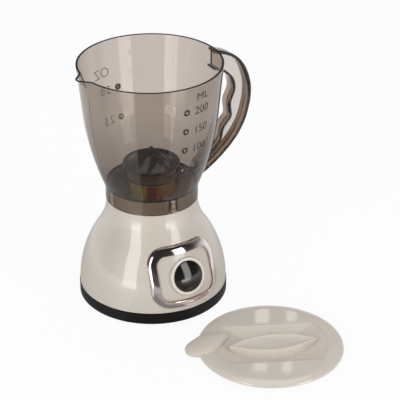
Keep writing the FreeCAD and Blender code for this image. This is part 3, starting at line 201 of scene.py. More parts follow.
def moulded_recipe(name, colour, roughness, grain=4 * MICRON, mottle=0.02, coat=0.0, shine=0.5, glow=0.0):
    """Moulded plastic: faint flow streaks, uneven gloss and a fine even surface grain."""
    recipe = Recipe(name)
    flow = recipe.noise(14, 4, 0.55, stretch=(1, 1, 0.35))
    handling = recipe.noise(45, 5, 0.6)
    fine = recipe.noise(3200, 2, 0.5)
    recipe.set(Base_Color=recipe.shade(flow, tint(colour, 1 - mottle), tint(colour, 1 + mottle)),
               Roughness=recipe.spread(handling, roughness * 0.92, roughness * 1.1),
               Normal=recipe.bump(fine, grain), IOR=PLASTIC_IOR, Specular_IOR_Level=shine,
               Coat_Weight=coat, Coat_Roughness=0.04)
    # glow is painted light: an emission standing in for light that reaches a part that is no lamp
    if glow:
        recipe.set(Emission_Color=(*colour, 1), Emission_Strength=glow)
    return recipe


def moulded(name, colour, roughness, **more):
    """A finished material of moulded plastic."""
    return moulded_recipe(name, colour, roughness, **more).material


def smoke_clear(name, through, thickness):
    """Smoke-tinted clear plastic; through is the share of light that passes one thickness."""
    recipe = Recipe(name)
    swirl = recipe.noise(35, 3, 0.5, stretch=(1, 1, 0.25))
    waves = recipe.noise(60, 2, 0.4, stretch=(1, 1, 0.3))
    recipe.set(Base_Color=(1, 1, 1, 1), Transmission_Weight=1.0, IOR=PLASTIC_IOR,
               Roughness=recipe.spread(swirl, 0.008, 0.032),
               Normal=recipe.bump(waves, 10 * MICRON, 0.2))
    depth = [-math.log(part) / thickness for part in through]
    density = max(depth) * 1.02
    absorb = recipe.node("ShaderNodeVolumeAbsorption", density=density,
                         color=(*[1 - part / density for part in depth], 1))
    recipe.join(absorb.outputs["Volume"], recipe.output.inputs["Volume"])
    shadow = recipe.node("ShaderNodeLightPath").outputs["Is Shadow Ray"]
    clear = recipe.node("ShaderNodeBsdfTransparent", color=(0.90, 0.88, 0.86, 1))
    recipe.surface(shadow, recipe.shader.outputs["BSDF"], clear.outputs["BSDF"])
    return recipe.material


def plated(name, colour, roughness):
    """Vacuum-metallised plastic: bright, with faint handling marks."""
    recipe = Recipe(name)
    haze = recipe.noise(160, 5, 0.65)
    recipe.set(Metallic=1.0, Base_Color=recipe.shade(haze, tint(colour, 0.94), colour),
               Roughness=recipe.spread(haze, roughness * 0.6, roughness * 1.6),
               Normal=recipe.bump(recipe.noise(60, 2, 0.4), 4 * MICRON, 0.4))
    return recipe.material


def board_green(name):
    """Solder mask with the paler lines of copper tracks beneath it."""
    recipe = Recipe(name)
    tracks = recipe.node("ShaderNodeTexBrick", scale=260, mortar_size=0.06, color1=(0.02, 0.13, 0.05, 1),
                         color2=(0.025, 0.15, 0.06, 1), mortar=(0.06, 0.28, 0.12, 1))
    recipe.join(recipe.place, tracks.inputs["Vector"])
    recipe.set(Base_Color=tracks.outputs["Color"], Roughness=0.32,
               Normal=recipe.bump(tracks.outputs["Fac"], 40 * MICRON, 0.5))
    return recipe.material


def cap_two_tone_painted_glow(name):
    """Lamp cap: a black hub and a brown smoke rim, parted by their distance from the axis; the rim has a
    painted glow that lights it where the cone and jug shade it.
    """
    recipe = Recipe(name)
    out = recipe.measure("LENGTH", recipe.vector("MULTIPLY", recipe.place, (1, 1, 0)))
    parted = recipe.spread(out, 0, 1, 4.8 * MM, 5.2 * MM)
    recipe.set(Base_Color=recipe.shade(parted, (0.008, 0.007, 0.007), (0.42, 0.34, 0.28)), Roughness=0.3,
               Normal=recipe.bump(recipe.noise(2600, 2, 0.5), 3 * MICRON),
               # painted glow on the brown rim, lighting it where the cone and jug shade it
               Emission_Color=recipe.shade(parted, (0, 0, 0), (0.075, 0.052, 0.040)),
               Emission_Strength=1.0)
    return recipe.material


CREAM, CREAM_ROUGHNESS, CREAM_GRAIN, CREAM_COAT = (0.60, 0.545, 0.475), 0.42, 6 * MICRON, 0.9
SMOKE_THROUGH, HANDLE_THROUGH, SMOKE_WALL = (0.59, 0.535, 0.49), (0.45, 0.365, 0.305), 1.6 * MM
LID_CENTRE, VALLEY_TURN = Vector((28 * MM, -132 * MM, 0)), 153.7
VALLEY_HALF_WIDTH, POLISH_FROM, VALLEY_COAT = 25 * MM, 30 * MM, 0.04


def lid_satin_valley(name):
    """The shell's cream painted a tenth lighter for the stronger light on the lid, polished on the lid's
    facets and satin along the valley across it.
    """
    # the cream is painted a tenth lighter, standing in for the stronger light that falls on the lid
    recipe = moulded_recipe(name, tint(CREAM, 1.10), CREAM_ROUGHNESS, grain=CREAM_GRAIN, coat=CREAM_COAT)
    across = towards(VALLEY_TURN + 90)
    along = recipe.measure("DOT_PRODUCT", recipe.place, across)
    aside = recipe.number("ABSOLUTE", recipe.number("SUBTRACT", along, LID_CENTRE.dot(across)))
    recipe.set(Coat_Weight=recipe.spread(aside, VALLEY_COAT, CREAM_COAT, VALLEY_HALF_WIDTH, POLISH_FROM))
    return recipe.material


# The lenses get a little painted glow, standing in for the light that reaches them through the clear hub.
finishes = {
    "shell_cream": moulded("cream_pearl", CREAM, CREAM_ROUGHNESS, grain=CREAM_GRAIN, coat=CREAM_COAT),
    "charcoal": moulded("charcoal_satin", (0.012, 0.010, 0.010), 0.45, grain=10 * MICRON, mottle=0.08,
                        shine=0.12),
    "black_gloss": moulded("black_gloss", (0.011, 0.008, 0.008), 0.10, grain=2 * MICRON, mottle=0.10,
                           coat=0.4, shine=0.42),
    "bright_trim": plated("bright_plating", (0.80, 0.72, 0.70), 0.08),
    "smoke_clear": smoke_clear("smoke_clear", SMOKE_THROUGH, SMOKE_WALL),
    "reamer_grey": moulded("cone_graphite", (0.014, 0.015, 0.015), 0.24, grain=2 * MICRON, mottle=0.08,
                           coat=0.35, shine=0.4),
    "lens_yellow": moulded("lens_olive", (0.46, 0.43, 0.002), 0.12, mottle=0.10, glow=0.25),
    "lens_red": moulded("lens_maroon", (0.30, 0.055, 0.035), 0.12, mottle=0.10, glow=0.30),
    "lens_amber": moulded("lens_amber", (0.46, 0.22, 0.10), 0.12, mottle=0.10, glow=0.30),
    "lamp_clear": moulded("lens_bare", (0.42, 0.38, 0.33), 0.15, mottle=0.08, coat=0.5),
    "white_inner": moulded("natural_nylon", (0.72, 0.71, 0.66), 0.38, grain=20 * MICRON, mottle=0.04),
    "dark_inner": moulded("black_inner", (0.02, 0.02, 0.02), 0.35, grain=20 * MICRON, mottle=0.15),
    "board": board_green("solder_mask"),
    "cell": moulded("cell_wrap", (0.03, 0.035, 0.05), 0.22, mottle=0.12, coat=0.3),
    "steel": plated("zinc_plate", (0.55, 0.55, 0.56), 0.25),
}
relief = moulded("scale_relief", (0.030, 0.025, 0.022), 0.25, mottle=0.10, shine=0.25)
relief_pale = moulded("relief_pale", (0.10, 0.085, 0.075), 0.25, mottle=0.10, shine=0.25)
ring_brown = moulded("ring_brown", (0.11, 0.075, 0.055), 0.2, mottle=0.1)
bead_smoke = moulded("bead_smoke", (0.26, 0.21, 0.17), 0.08, mottle=0.1, coat=1.0)
# The oz beads are pale, with a painted glow standing in for the light that reaches them through the wall.
bead_pale_painted_glow = moulded("bead_pale_painted_glow", (0.50, 0.45, 0.39), 0.12, mottle=0.1, glow=0.25)
# A flat dark colour for painted shade: the dark lines that the clear plastic shows at its rim, floor corner,
# collar channel and handle root.
painted_shade = moulded("painted_shade", (0.012, 0.010, 0.010), 0.45, mottle=0.1, shine=0.1)
rose_gold = plated("rose_gold_edge", (0.50, 0.35, 0.29), 0.28)
handle_smoke = smoke_clear("handle_smoke", HANDLE_THROUGH, SMOKE_WALL)

slots = {entry["node"]: entry["material_slot"] for entry in frame["record"]["subparts"]}
for node_name, obj in nodes.items():
    obj.data.materials.clear()
    obj.data.materials.append(finishes[slots[node_name]])
nodes["lamp_cap"].data.materials[0] = cap_two_tone_painted_glow("lamp_cap_painted_glow")
nodes["lid"].data.materials[0] = lid_satin_valley("cream_lid")


# ---------------------------------------------------------------- making pieces

def piece(name, form, body, slot, material=None, stands_for=(), smooth=35):
    """Turn a bmesh into a piece that rides on a body; edges sharper than smooth degrees stay crisp."""
    mesh = bpy.data.meshes.new(name)
    form.to_mesh(mesh)
    form.free()
    obj = bpy.data.objects.new(name, mesh)
    bpy.context.scene.collection.objects.link(obj)
    mesh.materials.append(material or finishes[slot])
    for face in mesh.polygons:
        face.use_smooth = True
    mesh.set_sharp_from_angle(angle=math.radians(smooth))
    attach(obj, body)
    if stands_for:
        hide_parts(*stands_for)
    return obj


def merged_copy(node):
    """A CAD node's solid as a bmesh with shared corners."""
    form = bmesh.new()
    form.from_mesh(nodes[node].data)
    bmesh.ops.remove_doubles(form, verts=form.verts, dist=4 * MICRON)
    return form


def gathered(forms):
    """Several bmeshes as one."""
    whole = bmesh.new()
    for form in forms:
        mesh = bpy.data.meshes.new("share")
        form.to_mesh(mesh)
        form.free()
        whole.from_mesh(mesh)
        bpy.data.meshes.remove(mesh)
    return whole


def spun(outline, steps, closed=True):
    """Solid of revolution from an outline of (radius, height), closed when its ends are to be joined."""
    form = bmesh.new()
    corners = [form.verts.new((radius, 0, height)) for radius, height in outline]
    first = 0 if closed else 1
    edges = [form.edges.new((corners[index - 1], corners[index])) for index in range(first, len(corners))]
    bmesh.ops.spin(form, geom=corners + edges, cent=(0, 0, 0), axis=(0, 0, 1), angle=math.tau,
                   steps=steps, use_merge=True)
    bmesh.ops.remove_doubles(form, verts=form.verts, dist=2 * MICRON)
    bmesh.ops.recalc_face_normals(form, faces=form.faces)
    return form


def half_round(middle, radius):
    """Points along the upper half of a circle, from its outer to its inner end."""
    steps = 8
    turns = [math.pi * step / steps for step in range(steps + 1)]
    return [(middle + radius * math.cos(turn), radius * math.sin(turn)) for turn in turns]


def new_corners(grown):
    """The corners that an extrusion has made."""
    return [item for item in grown["geom"] if isinstance(item, bmesh.types.BMVert)]


def thick_ribbon(form, corners, across, thickness):
    """Sweep a line of corners sideways and give the strip a thickness."""
    edges = [form.edges.new(pair) for pair in zip(corners, corners[1:])]
    grown = bmesh.ops.extrude_edge_only(form, edges=edges)
    bmesh.ops.translate(form, vec=across, verts=new_corners(grown))
    bmesh.ops.recalc_face_normals(form, faces=form.faces)
    bmesh.ops.solidify(form, geom=form.faces[:], thickness=thickness)


def block(form, size, place, facing=Vector((1, 0, 0))):
    """Add a block of a size in x, y and z at a place, its x axis turned to a direction."""
    made = bmesh.ops.create_cube(form, size=1)["verts"]
    bmesh.ops.scale(form, vec=size, verts=made)
    turned = facing.to_track_quat("X", "Z").to_matrix()
    bmesh.ops.rotate(form, cent=(0, 0, 0), matrix=turned, verts=made)
    bmesh.ops.translate(form, vec=place, verts=made)


def stood(form, place, normal):
    """Stand a form on a place, its Z axis along the surface's outward direction."""
    turned = normal.to_track_quat("Z", "Y").to_matrix().to_4x4()
    turned.translation = place
    bmesh.ops.transform(form, matrix=turned, verts=form.verts)
    return form


def skin(node):
    """A CAD node's surface, to find places on it."""
    form = merged_copy(node)
    tree = BVHTree.FromBMesh(form)
    form.free()
    return tree


OUTSIDE = 300 * MM              # farther from the axis than any piece


def spot(tree, azimuth, height):
    """Place and outward direction on a round surface, azimuth in degrees from +X."""
    outwards = towards(azimuth)
    start = outwards * OUTSIDE + Vector((0, 0, height))
    place, normal, _, _ = tree.ray_cast(start, -outwards)
    if normal.dot(outwards) < 0:
        normal = -normal
    return place, normal


jug_skin = skin("jug")
shell_skin = skin("base_shell")


# ---------------------------------------------------------------- scale on the jug

CAPITAL_SHARE = 0.73            # height of the font's capitals over its size
LETTER_WIDEN = 1.04
LETTER_HALF_DEPTH, LETTER_LIFT = 0.12 * MM, 0.08 * MM
LONGEST_EDGE = 1.2 * MM         # longer edges of a letter are cut up to follow the wall's bend


def lettering(words, azimuth, height, tall, stroke=-0.10 * MM):
    """Raised characters bent round the jug, starting at an azimuth and reading to its right."""
    text = bpy.data.curves.new("characters", "FONT")
    text.body = words
    text.size = tall / CAPITAL_SHARE
    text.extrude = LETTER_HALF_DEPTH
    text.offset = stroke
    text.resolution_u = 4
    holder = bpy.data.objects.new("characters", text)
    bpy.context.scene.collection.objects.link(holder)
    mesh = bpy.data.meshes.new_from_object(holder.evaluated_get(bpy.context.evaluated_depsgraph_get()))
    bpy.data.objects.remove(holder)
    form = bmesh.new()
    form.from_mesh(mesh)
    bmesh.ops.remove_doubles(form, verts=form.verts, dist=1 * MICRON)
    long_edges = [edge for edge in form.edges if edge.calc_length() > LONGEST_EDGE]
    bmesh.ops.subdivide_edges(form, edges=long_edges, cuts=2)
    bmesh.ops.triangulate(form, faces=form.faces)
    radius = spot(jug_skin, azimuth, height)[0].xy.length
    for corner in form.verts:
        turn = azimuth + math.degrees(corner.co.x * LETTER_WIDEN / radius)
        place, normal = spot(jug_skin, turn, height + corner.co.y - tall / 2)
        corner.co = place + normal * (corner.co.z + LETTER_LIFT)
    return form


def stud(azimuth, height, outline):
    """A round form from an outline of (radius, rise), standing on the jug's wall."""
    return stood(spun(outline, 28), *spot(jug_skin, azimuth, height))


ML_STEPS = (("200", 179.5 * MM), ("150", 163.0 * MM), ("100", 146.5 * MM), ("50", 127.8 * MM))
OZ_STEPS = (("5.0", 159.1 * MM), ("2.5", 134.5 * MM))
ML_MARKS, OZ_MARKS = -90, 90                        # azimuth of each scale's rings and beads
ML_WORDS, ML_UNIT, OZ_WORDS = -82.5, -81.5, 97.5    # azimuth where each word starts
FIGURE_TALL, OZ_TALL = 6.8 * MM, 8.4 * MM
SUNK = -0.05 * MM                                   # a mark's foot lies this deep in the wall

ring = [(1.25 * MM, SUNK), (2.65 * MM, SUNK)] + half_round(1.95 * MM, 0.7 * MM)
bead = [(0, SUNK), (1.2 * MM, SUNK), (1.2 * MM, 0.15 * MM), (0.9 * MM, 0.5 * MM), (0.5 * MM, 0.65 * MM),
        (0, 0.7 * MM)]
ml_words = [lettering(words, ML_WORDS, height, FIGURE_TALL) for words, height in ML_STEPS]
ml_words.append(lettering("ML", ML_UNIT, 191.0 * MM, FIGURE_TALL))
oz_words = [lettering(words, OZ_WORDS, height, FIGURE_TALL, stroke=-0.16 * MM) for words, height in OZ_STEPS]
oz_words.append(lettering("OZ", OZ_WORDS, 174.5 * MM, OZ_TALL, stroke=-0.28 * MM))
piece("scale_numbers_ml", gathered(ml_words), "jug", "smoke_clear", relief, smooth=30)
piece("scale_numbers_oz", gathered(oz_words), "jug", "smoke_clear", relief_pale, smooth=30)
piece("scale_rings_ml", gathered([stud(ML_MARKS, height, ring) for _, height in ML_STEPS]),
      "jug", "black_gloss", smooth=50)
piece("scale_rings_oz", gathered([stud(OZ_MARKS, height, ring) for _, height in OZ_STEPS]),
      "jug", "smoke_clear", ring_brown, smooth=50)
piece("scale_beads_ml", gathered([stud(ML_MARKS, height, bead) for _, height in ML_STEPS]),
      "jug", "smoke_clear", bead_smoke, smooth=50)
piece("scale_beads_oz", gathered([stud(OZ_MARKS, height, bead) for _, height in OZ_STEPS]),
      "jug", "smoke_clear", bead_pale_painted_glow, smooth=50)


# ---------------------------------------------------------------- lines on the jug

def jug_rim_edge():
    """A painted dark band on the rim, standing in for the shade that the clear wall's polished rim shows."""
    form = merged_copy("jug")
    rim = high("jug").z - 0.02 * MM
    others = [face for face in form.faces if face.normal.z < 0.9 or face.calc_center_median().z < rim]
    bmesh.ops.delete(form, geom=others, context="FACES")
    grown = bmesh.ops.extrude_face_region(form, geom=form.faces[:])
    bmesh.ops.translate(form, vec=(0, 0, 0.25 * MM), verts=new_corners(grown))
    bmesh.ops.recalc_face_normals(form, faces=form.faces)
    return form


def jug_floor_shade_line():
    """A painted dark line inside the wall where the bowl meets the collar, standing in for the shade in the
    thick corner there.
    """
    bottom, top = 98.0 * MM, 98.85 * MM
    outer = spot(jug_skin, 180, 98.9 * MM)[0].xy.length - 0.25 * MM
    inner = outer - 0.9 * MM
    return spun([(inner, bottom), (outer, bottom), (outer, top), (inner, top)], 96)


def parting_line(azimuth, bottom, top, width):
    """The fine raised line that the mould's halves leave on the jug."""
    form = bmesh.new()
    steps = 40
    corners = []
    for step in range(steps + 1):
        place, normal = spot(jug_skin, azimuth, bottom + (top - bottom) * step / steps)
        corners.append(form.verts.new(place + normal * 0.05 * MM))
    thick_ribbon(form, corners, towards(azimuth + 90) * width, 0.12 * MM)
    return form


def key_lines(azimuth, bottom, top, half_width):
    """Painted dark lines standing in for the shade at the edges of the channel in the collar that a key of
    the neck runs in.
    """
    collar_radius, proud, thin = 36 * MM, 0.24 * MM, 0.4 * MM
    middle, length = (bottom + top) / 2, top - bottom
    bars = [(-half_width, middle, 1.0 * MM, length), (half_width, middle, 1.0 * MM, length),
            (0, top, 2 * half_width, 0.45 * MM), (0, bottom + 0.62 * length, 2 * half_width, thin),
            (0, bottom + 0.2 * length, half_width, thin)]
    form = bmesh.new()
    for along, height, wide, tall in bars:
        place, normal = spot(jug_skin, azimuth + math.degrees(along / collar_radius), height)
        block(form, (proud, wide, tall), place, normal)
    return form


piece("jug_rim_edge", jug_rim_edge(), "jug", "smoke_clear", painted_shade, smooth=40)
piece("jug_floor_shade_line", jug_floor_shade_line(), "jug", "smoke_clear", painted_shade, smooth=40)
piece("parting_line", parting_line(-177.5, 99.5 * MM, 184 * MM, 0.35 * MM),
      "jug", "smoke_clear", relief, smooth=40)
piece("collar_key_shade_lines", key_lines(-93, 87.2 * MM, 98.0 * MM, 3.1 * MM),
      "jug", "smoke_clear", painted_shade, smooth=30)


# ---------------------------------------------------------------- handle

def flowing(points):
    """A smooth line through points of (x, z), in millimetres."""
    steps = 5
    ends = [points[0]] + points + [points[-1]]
    line = []
    for index in range(1, len(ends) - 2):
        before, first, second, after = [Vector(point) for point in ends[index - 1:index + 3]]
        for step in range(steps):
            t = step / steps
            line.append(0.5 * (2 * first + (second - before) * t
                               + (2 * before - 5 * first + 4 * second - after) * t ** 2
                               + (3 * first - before - 3 * second + after) * t ** 3))
    line.append(Vector(points[-1]))
    return [point * MM for point in line]


def band(line, half_width, thickness):
    """A band of the handle: a line swept across the width, thickened inwards, edges rounded."""
    form = bmesh.new()
    corners = [form.verts.new((point.x, -half_width, point.y)) for point in line]
    thick_ribbon(form, corners, (0, 2 * half_width, 0), thickness)
    bmesh.ops.recalc_face_normals(form, faces=form.faces)
    rims = [edge for edge in form.edges if edge.is_manifold and edge.calc_face_angle() > 1.0]
    bmesh.ops.bevel(form, geom=rims, affect="EDGES", offset=0.45 * MM, segments=3, profile=0.5, material=-1,
                    clamp_overlap=True)
    return form


def handle_web(outer, inner, half_depth):
    """The thin plate between the two bands of the handle."""
    form = bmesh.new()
    face = form.faces.new([form.verts.new((point.x, -half_depth, point.y)) for point in outer + inner[::-1]])
    grown = bmesh.ops.extrude_face_region(form, geom=[face])
    bmesh.ops.translate(form, vec=(0, 2 * half_depth, 0), verts=new_corners(grown))
    bmesh.ops.triangulate(form, faces=[item for item in form.faces if len(item.verts) > 4])
    bmesh.ops.recalc_face_normals(form, faces=form.faces)
    return form


def handle_root():
    """A painted dark line standing in for the shade where the handle's plate runs into the jug's wall."""
    form = bmesh.new()
    block(form, (0.5 * MM, 1.5 * MM, 12.0 * MM), (56.6 * MM, 0, 191.4 * MM))
    return form


bow_line = flowing([(57.3, 198.6), (61.8, 197.2), (67.3, 195.2), (72.8, 192.2), (78.2, 187.8), (82.8, 181.8),
                    (86.4, 174.5), (88.9, 166.5), (89.9, 158.9), (89.5, 150.2), (88.0, 143.2), (85.6, 134.8),
                    (81.9, 127.2), (77.3, 120.2), (71.1, 113.4), (64.6, 107.6), (56.7, 101.6), (47.0, 95.6),
                    (37.3, 91.6)])
grip_line = flowing([(56.2, 184.6), (61.0, 183.0), (65.2, 180.4), (69.6, 176.4), (73.2, 171.8), (75.0, 166.2),
                     (75.0, 161.1), (73.6, 157.1), (71.8, 153.2), (71.0, 148.9), (71.6, 143.2), (71.9, 139.9),
                     (70.8, 136.6), (67.7, 133.4), (64.5, 129.1), (63.4, 124.9), (62.5, 120.9), (59.8, 116.9),
                     (55.0, 112.1), (50.8, 107.9), (46.4, 103.8), (41.6, 100.4)])
BAND_HALF_WIDTH, BOW_THICK, GRIP_THICK, WEB_HALF_DEPTH = 5.5 * MM, 2.3 * MM, 1.9 * MM, 0.65 * MM
into_bow = Vector((BOW_THICK * 0.9, BOW_THICK * 0.35))
web_line = [point - into_bow for point in bow_line]
piece("handle_bow", band(bow_line, BAND_HALF_WIDTH, BOW_THICK), "jug", "smoke_clear", handle_smoke,
      stands_for=("handle",), smooth=40)
piece("handle_grip", band(grip_line, BAND_HALF_WIDTH, GRIP_THICK), "jug", "smoke_clear", handle_smoke,
      smooth=40)
piece("handle_web", handle_web(web_line, grip_line, WEB_HALF_DEPTH), "jug", "smoke_clear", smooth=40)
piece("handle_root_shade_line", handle_root(), "jug", "smoke_clear", painted_shade, smooth=30)


# ---------------------------------------------------------------- button spring, cone and lid mark

def spring_in_button():
    """The button's spring, as a piece of its own on the base."""
    coil = merged_copy("button_spring")
    spring = piece("spring_coil", coil, "base", "steel", stands_for=("button_spring",))
    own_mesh(spring)


def cone_moulding():
    """The juicer cone: a rounded bowl, a thin rim and six curved ridges that meet at a knob."""
    rim, foot, tip = high("reamer").x, low("reamer").z, high("reamer").z
    edge, reach = tip - 13.2 * MM, rim - 2.0 * MM
    # Both in millimetres: the bowl as radius and rise over the foot, the lip off the rim and the edge.
    bowl = [(0, 1.2), (8, 1.2), (12.5, 1.8), (17, 3.9), (20.3, 6.0)]
    lip = [(-0.5, -1.5), (0, -0.7), (0, 0.1), (-0.5, 0.6), (-1.2, 0.5)]
    rows, around, ridges = 26, 300, 6
    profile = [(radius * MM, foot + rise * MM) for radius, rise in bowl]
    profile += [(rim + out * MM, edge + rise * MM) for out, rise in lip]
    profile += [(reach * (1 - row / rows), edge) for row in range(rows + 1)]
    form = spun(profile, around, closed=False)
    pitch, twist, first_ridge = math.tau / ridges, 0.55, 0.65
    ridge_width, ridge_tall, dome_tall, peak_tall = 1.1 * MM, 1.9 * MM, 9.6 * MM, 1.4 * MM
    for corner in form.verts:
        radius = math.hypot(corner.co.x, corner.co.y)
        if corner.co.z < edge - 0.01 * MM or radius > reach + 0.05 * MM:
            continue
        share = min(1, radius / reach)
        turn = math.atan2(corner.co.y, corner.co.x) + twist * share + first_ridge
        aside = abs((turn + pitch / 2) % pitch - pitch / 2) * radius
        hollow = 1 - math.exp(-aside / ridge_width)
        crest = dome_tall * (1 - share ** 1.25) + peak_tall * (1 - share) ** 0.5
        ridge = ridge_tall * min(1, share * 5) * (1 - share ** 4)
        corner.co.z = edge - 0.5 * MM + max(0, crest - ridge * hollow)
    knob = bmesh.ops.create_uvsphere(form, u_segments=24, v_segments=12, radius=2.1 * MM)
    bmesh.ops.translate(form, vec=(0, 0, tip - 2.2 * MM), verts=knob["verts"])
    bmesh.ops.recalc_face_normals(form, faces=form.faces)
    return form


def gate_mark(x, y):
    """The small ring left in the lid's valley where the plastic was let into the mould."""
    above = Vector((x, y, 100 * MM))
    place, normal, _, _ = skin("lid").ray_cast(above, Vector((0, 0, -1)))
    outline = [(0.75 * MM, SUNK), (1.35 * MM, SUNK), (1.25 * MM, 0.35 * MM), (0.85 * MM, 0.35 * MM)]
    return stood(spun(outline, 28), place, normal)


spring_in_button()
piece("cone_moulding", cone_moulding(), "reamer", "reamer_grey", stands_for=("reamer",), smooth=60)
piece("gate_mark", gate_mark(38.2 * MM, -116.5 * MM), "lid", "shell_cream", smooth=30)


# ---------------------------------------------------------------- panel frame

PANEL_CORNER = 13 * MM
# The frame's section from its outline inwards: distance in and rise over the shell, in millimetres.
PANEL_SECTION = [(0.45, 0.30), (0.52, 0.72), (0.68, 1.08), (0.92, 1.38), (1.25, 1.62), (1.66, 1.80),
                 (2.15, 1.92), (2.7, 1.98), (3.3, 1.99), (3.9, 1.96), (4.5, 1.90), (5.1, 1.81), (5.7, 1.70),
                 (6.2, 0.30)]
PANEL_SUNK = -1.2 * MM
WIDER, FOOT_SPREAD, SIDE_BOW, END_BOW = 1.02, 0.03, 0.03, 0.075


def panel_frame():
    """The bright frame: a rounded oblong inset step by step to a rolled section, laid on the shell."""
    lowest, highest = low("panel_bezel"), high("panel_bezel")
    half_wide, half_tall = highest.x, (highest.z - lowest.z) / 2
    centre = (highest.z + lowest.z) / 2
    form = bmesh.new()
    bmesh.ops.create_grid(form, x_segments=1, y_segments=1, size=1)
    bmesh.ops.scale(form, vec=(half_wide, half_tall, 1), verts=form.verts)
    bmesh.ops.bevel(form, geom=form.verts[:], affect="VERTICES", offset=PANEL_CORNER, segments=18,
                    profile=0.5, material=-1)
    sides = [edge for edge in form.edges if edge.calc_length() > 6 * MM]
    bmesh.ops.subdivide_edges(form, edges=sides, cuts=11)
    bmesh.ops.remove_doubles(form, verts=form.verts, dist=10 * MICRON)
    face = form.faces[:][0]
    last = len(PANEL_SECTION) - 1
    outer = 0
    for index, (distance, rise) in enumerate(PANEL_SECTION):
        made = bmesh.ops.inset_region(form, faces=[face], thickness=(distance - outer) * MM, depth=0,
                                      use_even_offset=True, use_boundary=True)
        outer = distance
        for corner in face.verts:
            corner.co.z = rise * MM
        if index in (0, last):
            for part in made["faces"]:
                part.material_index = 1
    bmesh.ops.delete(form, geom=[face], context="FACES")
    rims = [edge for edge in form.edges if edge.is_boundary]
    for corner in new_corners(bmesh.ops.extrude_edge_only(form, edges=rims)):
        corner.co.z = PANEL_SUNK
    for corner in form.verts:
        along, up = corner.co.x / half_wide, corner.co.y / half_tall
        corner.co.x *= WIDER + SIDE_BOW * (1 - up * up) - FOOT_SPREAD * up
        corner.co.y *= 1 + END_BOW * (1 - along * along)
    for corner in form.verts:
        height = centre + corner.co.y
        place, _ = spot(shell_skin, 180, height)
        depth = math.sqrt(place.x ** 2 - corner.co.x ** 2)
        corner.co = Vector((corner.co.x, -depth - corner.co.z, height))
    bmesh.ops.recalc_face_normals(form, faces=form.faces)
    return form


bezel = piece("panel_frame", panel_frame(), "base", "bright_trim", stands_for=("panel_bezel",), smooth=50)
bezel.data.materials.append(rose_gold)


# ---------------------------------------------------------------- camera, light and floor

CAMERA_PLACE, CAMERA_TILT, CAMERA_TURN = (-0.58811, -1.03328, 0.7275), 61.41, -31.5
LENS, SENSOR = 151.98, 36
LAMPS_AIM = Vector((0, 0, 100 * MM))
# Name, azimuth, distance, height, panel's width and height, brightness with 1 as white.
SOFT_BOXES = (
    ("box_left", -156, 1.5, 0.55, 0.60, 1.3, 4.6),
    ("box_right", -70, 1.5, 0.55, 0.52, 1.3, 4.2),
    ("box_top", 60, 0.5, 1.7, 1.2, 1.2, 1.65),
    ("strip_wide", 54.2, 2.5, 1.66, 0.050, 0.46, 2.4),
    ("strip_slim", 51.8, 2.5, 1.66, 0.035, 0.46, 2.4),
)
REARWARDS = (0.522, 0.853, -0.12)   # away from the camera, where the room is bright
FILL = 0.40                         # the room's brightness for light that isn't mirrored
# The floor in reflections is painted with light and shade: a painted dim part before the panel and two
# painted beams of light farther out, where the soft boxes light it. Azimuths, then half angles at full
# strength and at the end, all in degrees.
FRONT_AZIMUTH, FRONT_INNER, FRONT_OUTER, FRONT_GLOW = -116, 26.0, 28.0, 0.30
BEAM_AZIMUTHS, BEAM_INNER, BEAM_OUTER, BEAM_GAIN = (-156, -78), 9, 13, 2.6
FLOOR_SHARE = 0.93                  # share of glow in the floor's white, the rest is lit paint


def cosine(angle):
    """Cosine of an angle in degrees."""
    return math.cos(math.radians(angle))


def add_camera():
    """The camera that looks down at the toy from its front left."""
    camera = bpy.data.objects.new("camera", bpy.data.cameras.new("camera"))
    bpy.context.scene.collection.objects.link(camera)
    camera.location = CAMERA_PLACE
    camera.rotation_euler = (math.radians(CAMERA_TILT), 0, math.radians(CAMERA_TURN))
    camera.data.sensor_width = SENSOR
    camera.data.lens = LENS
    camera.data.clip_start = 0.05
    bpy.context.scene.camera = camera
    bpy.context.scene.view_settings.view_transform = "Standard"


def add_soft_box(name, azimuth, distance, height, width, tall, glow):
    """A rectangular lamp that faces the toy."""
    light = bpy.data.lights.new(name, "AREA")
    light.shape = "RECTANGLE"
    light.size, light.size_y = width, tall
    light.energy = glow * math.pi * width * tall
    holder = bpy.data.objects.new(name, light)
    holder.location = towards(azimuth) * distance + Vector((0, 0, height))
    aim = LAMPS_AIM - holder.location
    holder.rotation_euler = aim.to_track_quat("-Z", "Y").to_euler()
    bpy.context.scene.collection.objects.link(holder)


def mirrored_ray(graph, light):
    """1 for a ray that comes off a glossy surface or through clear plastic, 0 for others."""
    return graph.number("MAXIMUM", light.outputs["Is Glossy Ray"], light.outputs["Is Transmission Ray"])


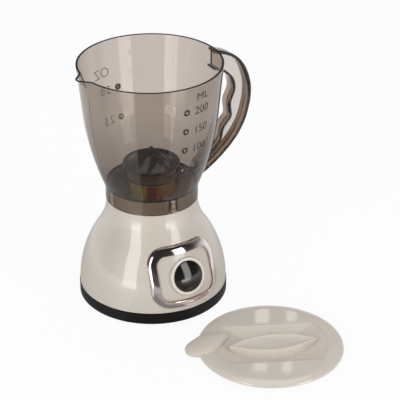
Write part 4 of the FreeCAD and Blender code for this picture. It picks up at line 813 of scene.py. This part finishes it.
def add_room():
    """The room: white to the camera, and bright behind but dim in front and above to mirrored rays."""
    world = bpy.data.worlds.new("studio")
    bpy.context.scene.world = world
    world.use_nodes = True
    graph = Graph(world.node_tree)
    light = graph.node("ShaderNodeLightPath")
    way = graph.node("ShaderNodeTexCoord").outputs["Generated"]
    walls = graph.spread(graph.measure("DOT_PRODUCT", way, REARWARDS), 0.10, 1.0, -0.25, 0.35, eased=True)
    split = graph.node("ShaderNodeSeparateXYZ")
    graph.join(way, split.inputs["Vector"])
    ceiling = graph.spread(split.outputs["Z"], 1.0, 0.30, 0.10, 0.40, eased=True)
    room = graph.number("MULTIPLY", walls, ceiling)
    unseen = graph.between(mirrored_ray(graph, light), FILL, room)
    background = graph.tree.nodes["Background"]
    background.inputs["Color"].default_value = (1, 1, 1, 1)
    graph.join(graph.between(light.outputs["Is Camera Ray"], unseen, 1.0), background.inputs["Strength"])


def sweep_paint():
    """White paint of the floor; mirrored rays see painted light and shade on it: dim in front, a painted
    shadow near the toy, and bright in two painted beams.
    """
    recipe = Recipe("white_sweep")
    light = recipe.node("ShaderNodeLightPath")
    mirrored = mirrored_ray(recipe, light)
    distance = recipe.measure("LENGTH", recipe.place)
    bearing = recipe.vector("NORMALIZE", recipe.place)
    forward = recipe.measure("DOT_PRODUCT", bearing, towards(FRONT_AZIMUTH))
    # painted shade in front of the toy and painted light beside it, for mirrored rays
    front = recipe.spread(forward, 1.0, FRONT_GLOW, cosine(FRONT_OUTER), cosine(FRONT_INNER))
    beside = recipe.spread(forward, 1.0, 1.7, 0.10, 0.85)
    # painted shadow of the toy, dimming the floor near it for mirrored rays
    near = recipe.spread(distance, 0.45, 1.0, 0.14, 0.32)
    # painted beams of light where the soft boxes light the floor, farther out
    beams = [recipe.spread(recipe.measure("DOT_PRODUCT", bearing, towards(azimuth)), 0.0, 1.0,
                           cosine(BEAM_OUTER), cosine(BEAM_INNER), eased=True)
             for azimuth in BEAM_AZIMUTHS]
    far = recipe.spread(distance, 0.0, BEAM_GAIN, 0.30, 0.42)
    beamed = recipe.number("MULTIPLY_ADD", recipe.number("ADD", *beams), far, 1.0)
    strength = front
    for factor in (beamed, beside, near):
        strength = recipe.number("MULTIPLY", strength, factor)
    glow = recipe.node("ShaderNodeEmission")
    recipe.join(recipe.between(mirrored, 1.0, strength), glow.inputs["Strength"])
    shown = recipe.number("MAXIMUM", light.outputs["Is Camera Ray"], mirrored)
    recipe.set(Base_Color=(0.9, 0.9, 0.9, 1), Roughness=0.7)
    recipe.surface(recipe.number("MULTIPLY", shown, FLOOR_SHARE), recipe.shader.outputs["BSDF"],
                   glow.outputs["Emission"])
    return recipe.material


def add_floor():
    """A wide level floor."""
    form = bmesh.new()
    bmesh.ops.create_grid(form, x_segments=1, y_segments=1, size=6)
    mesh = bpy.data.meshes.new("floor")
    form.to_mesh(mesh)
    form.free()
    floor = bpy.data.objects.new("floor", mesh)
    bpy.context.scene.collection.objects.link(floor)
    mesh.materials.append(sweep_paint())


add_camera()
for box in SOFT_BOXES:
    add_soft_box(*box)
add_room()
add_floor()
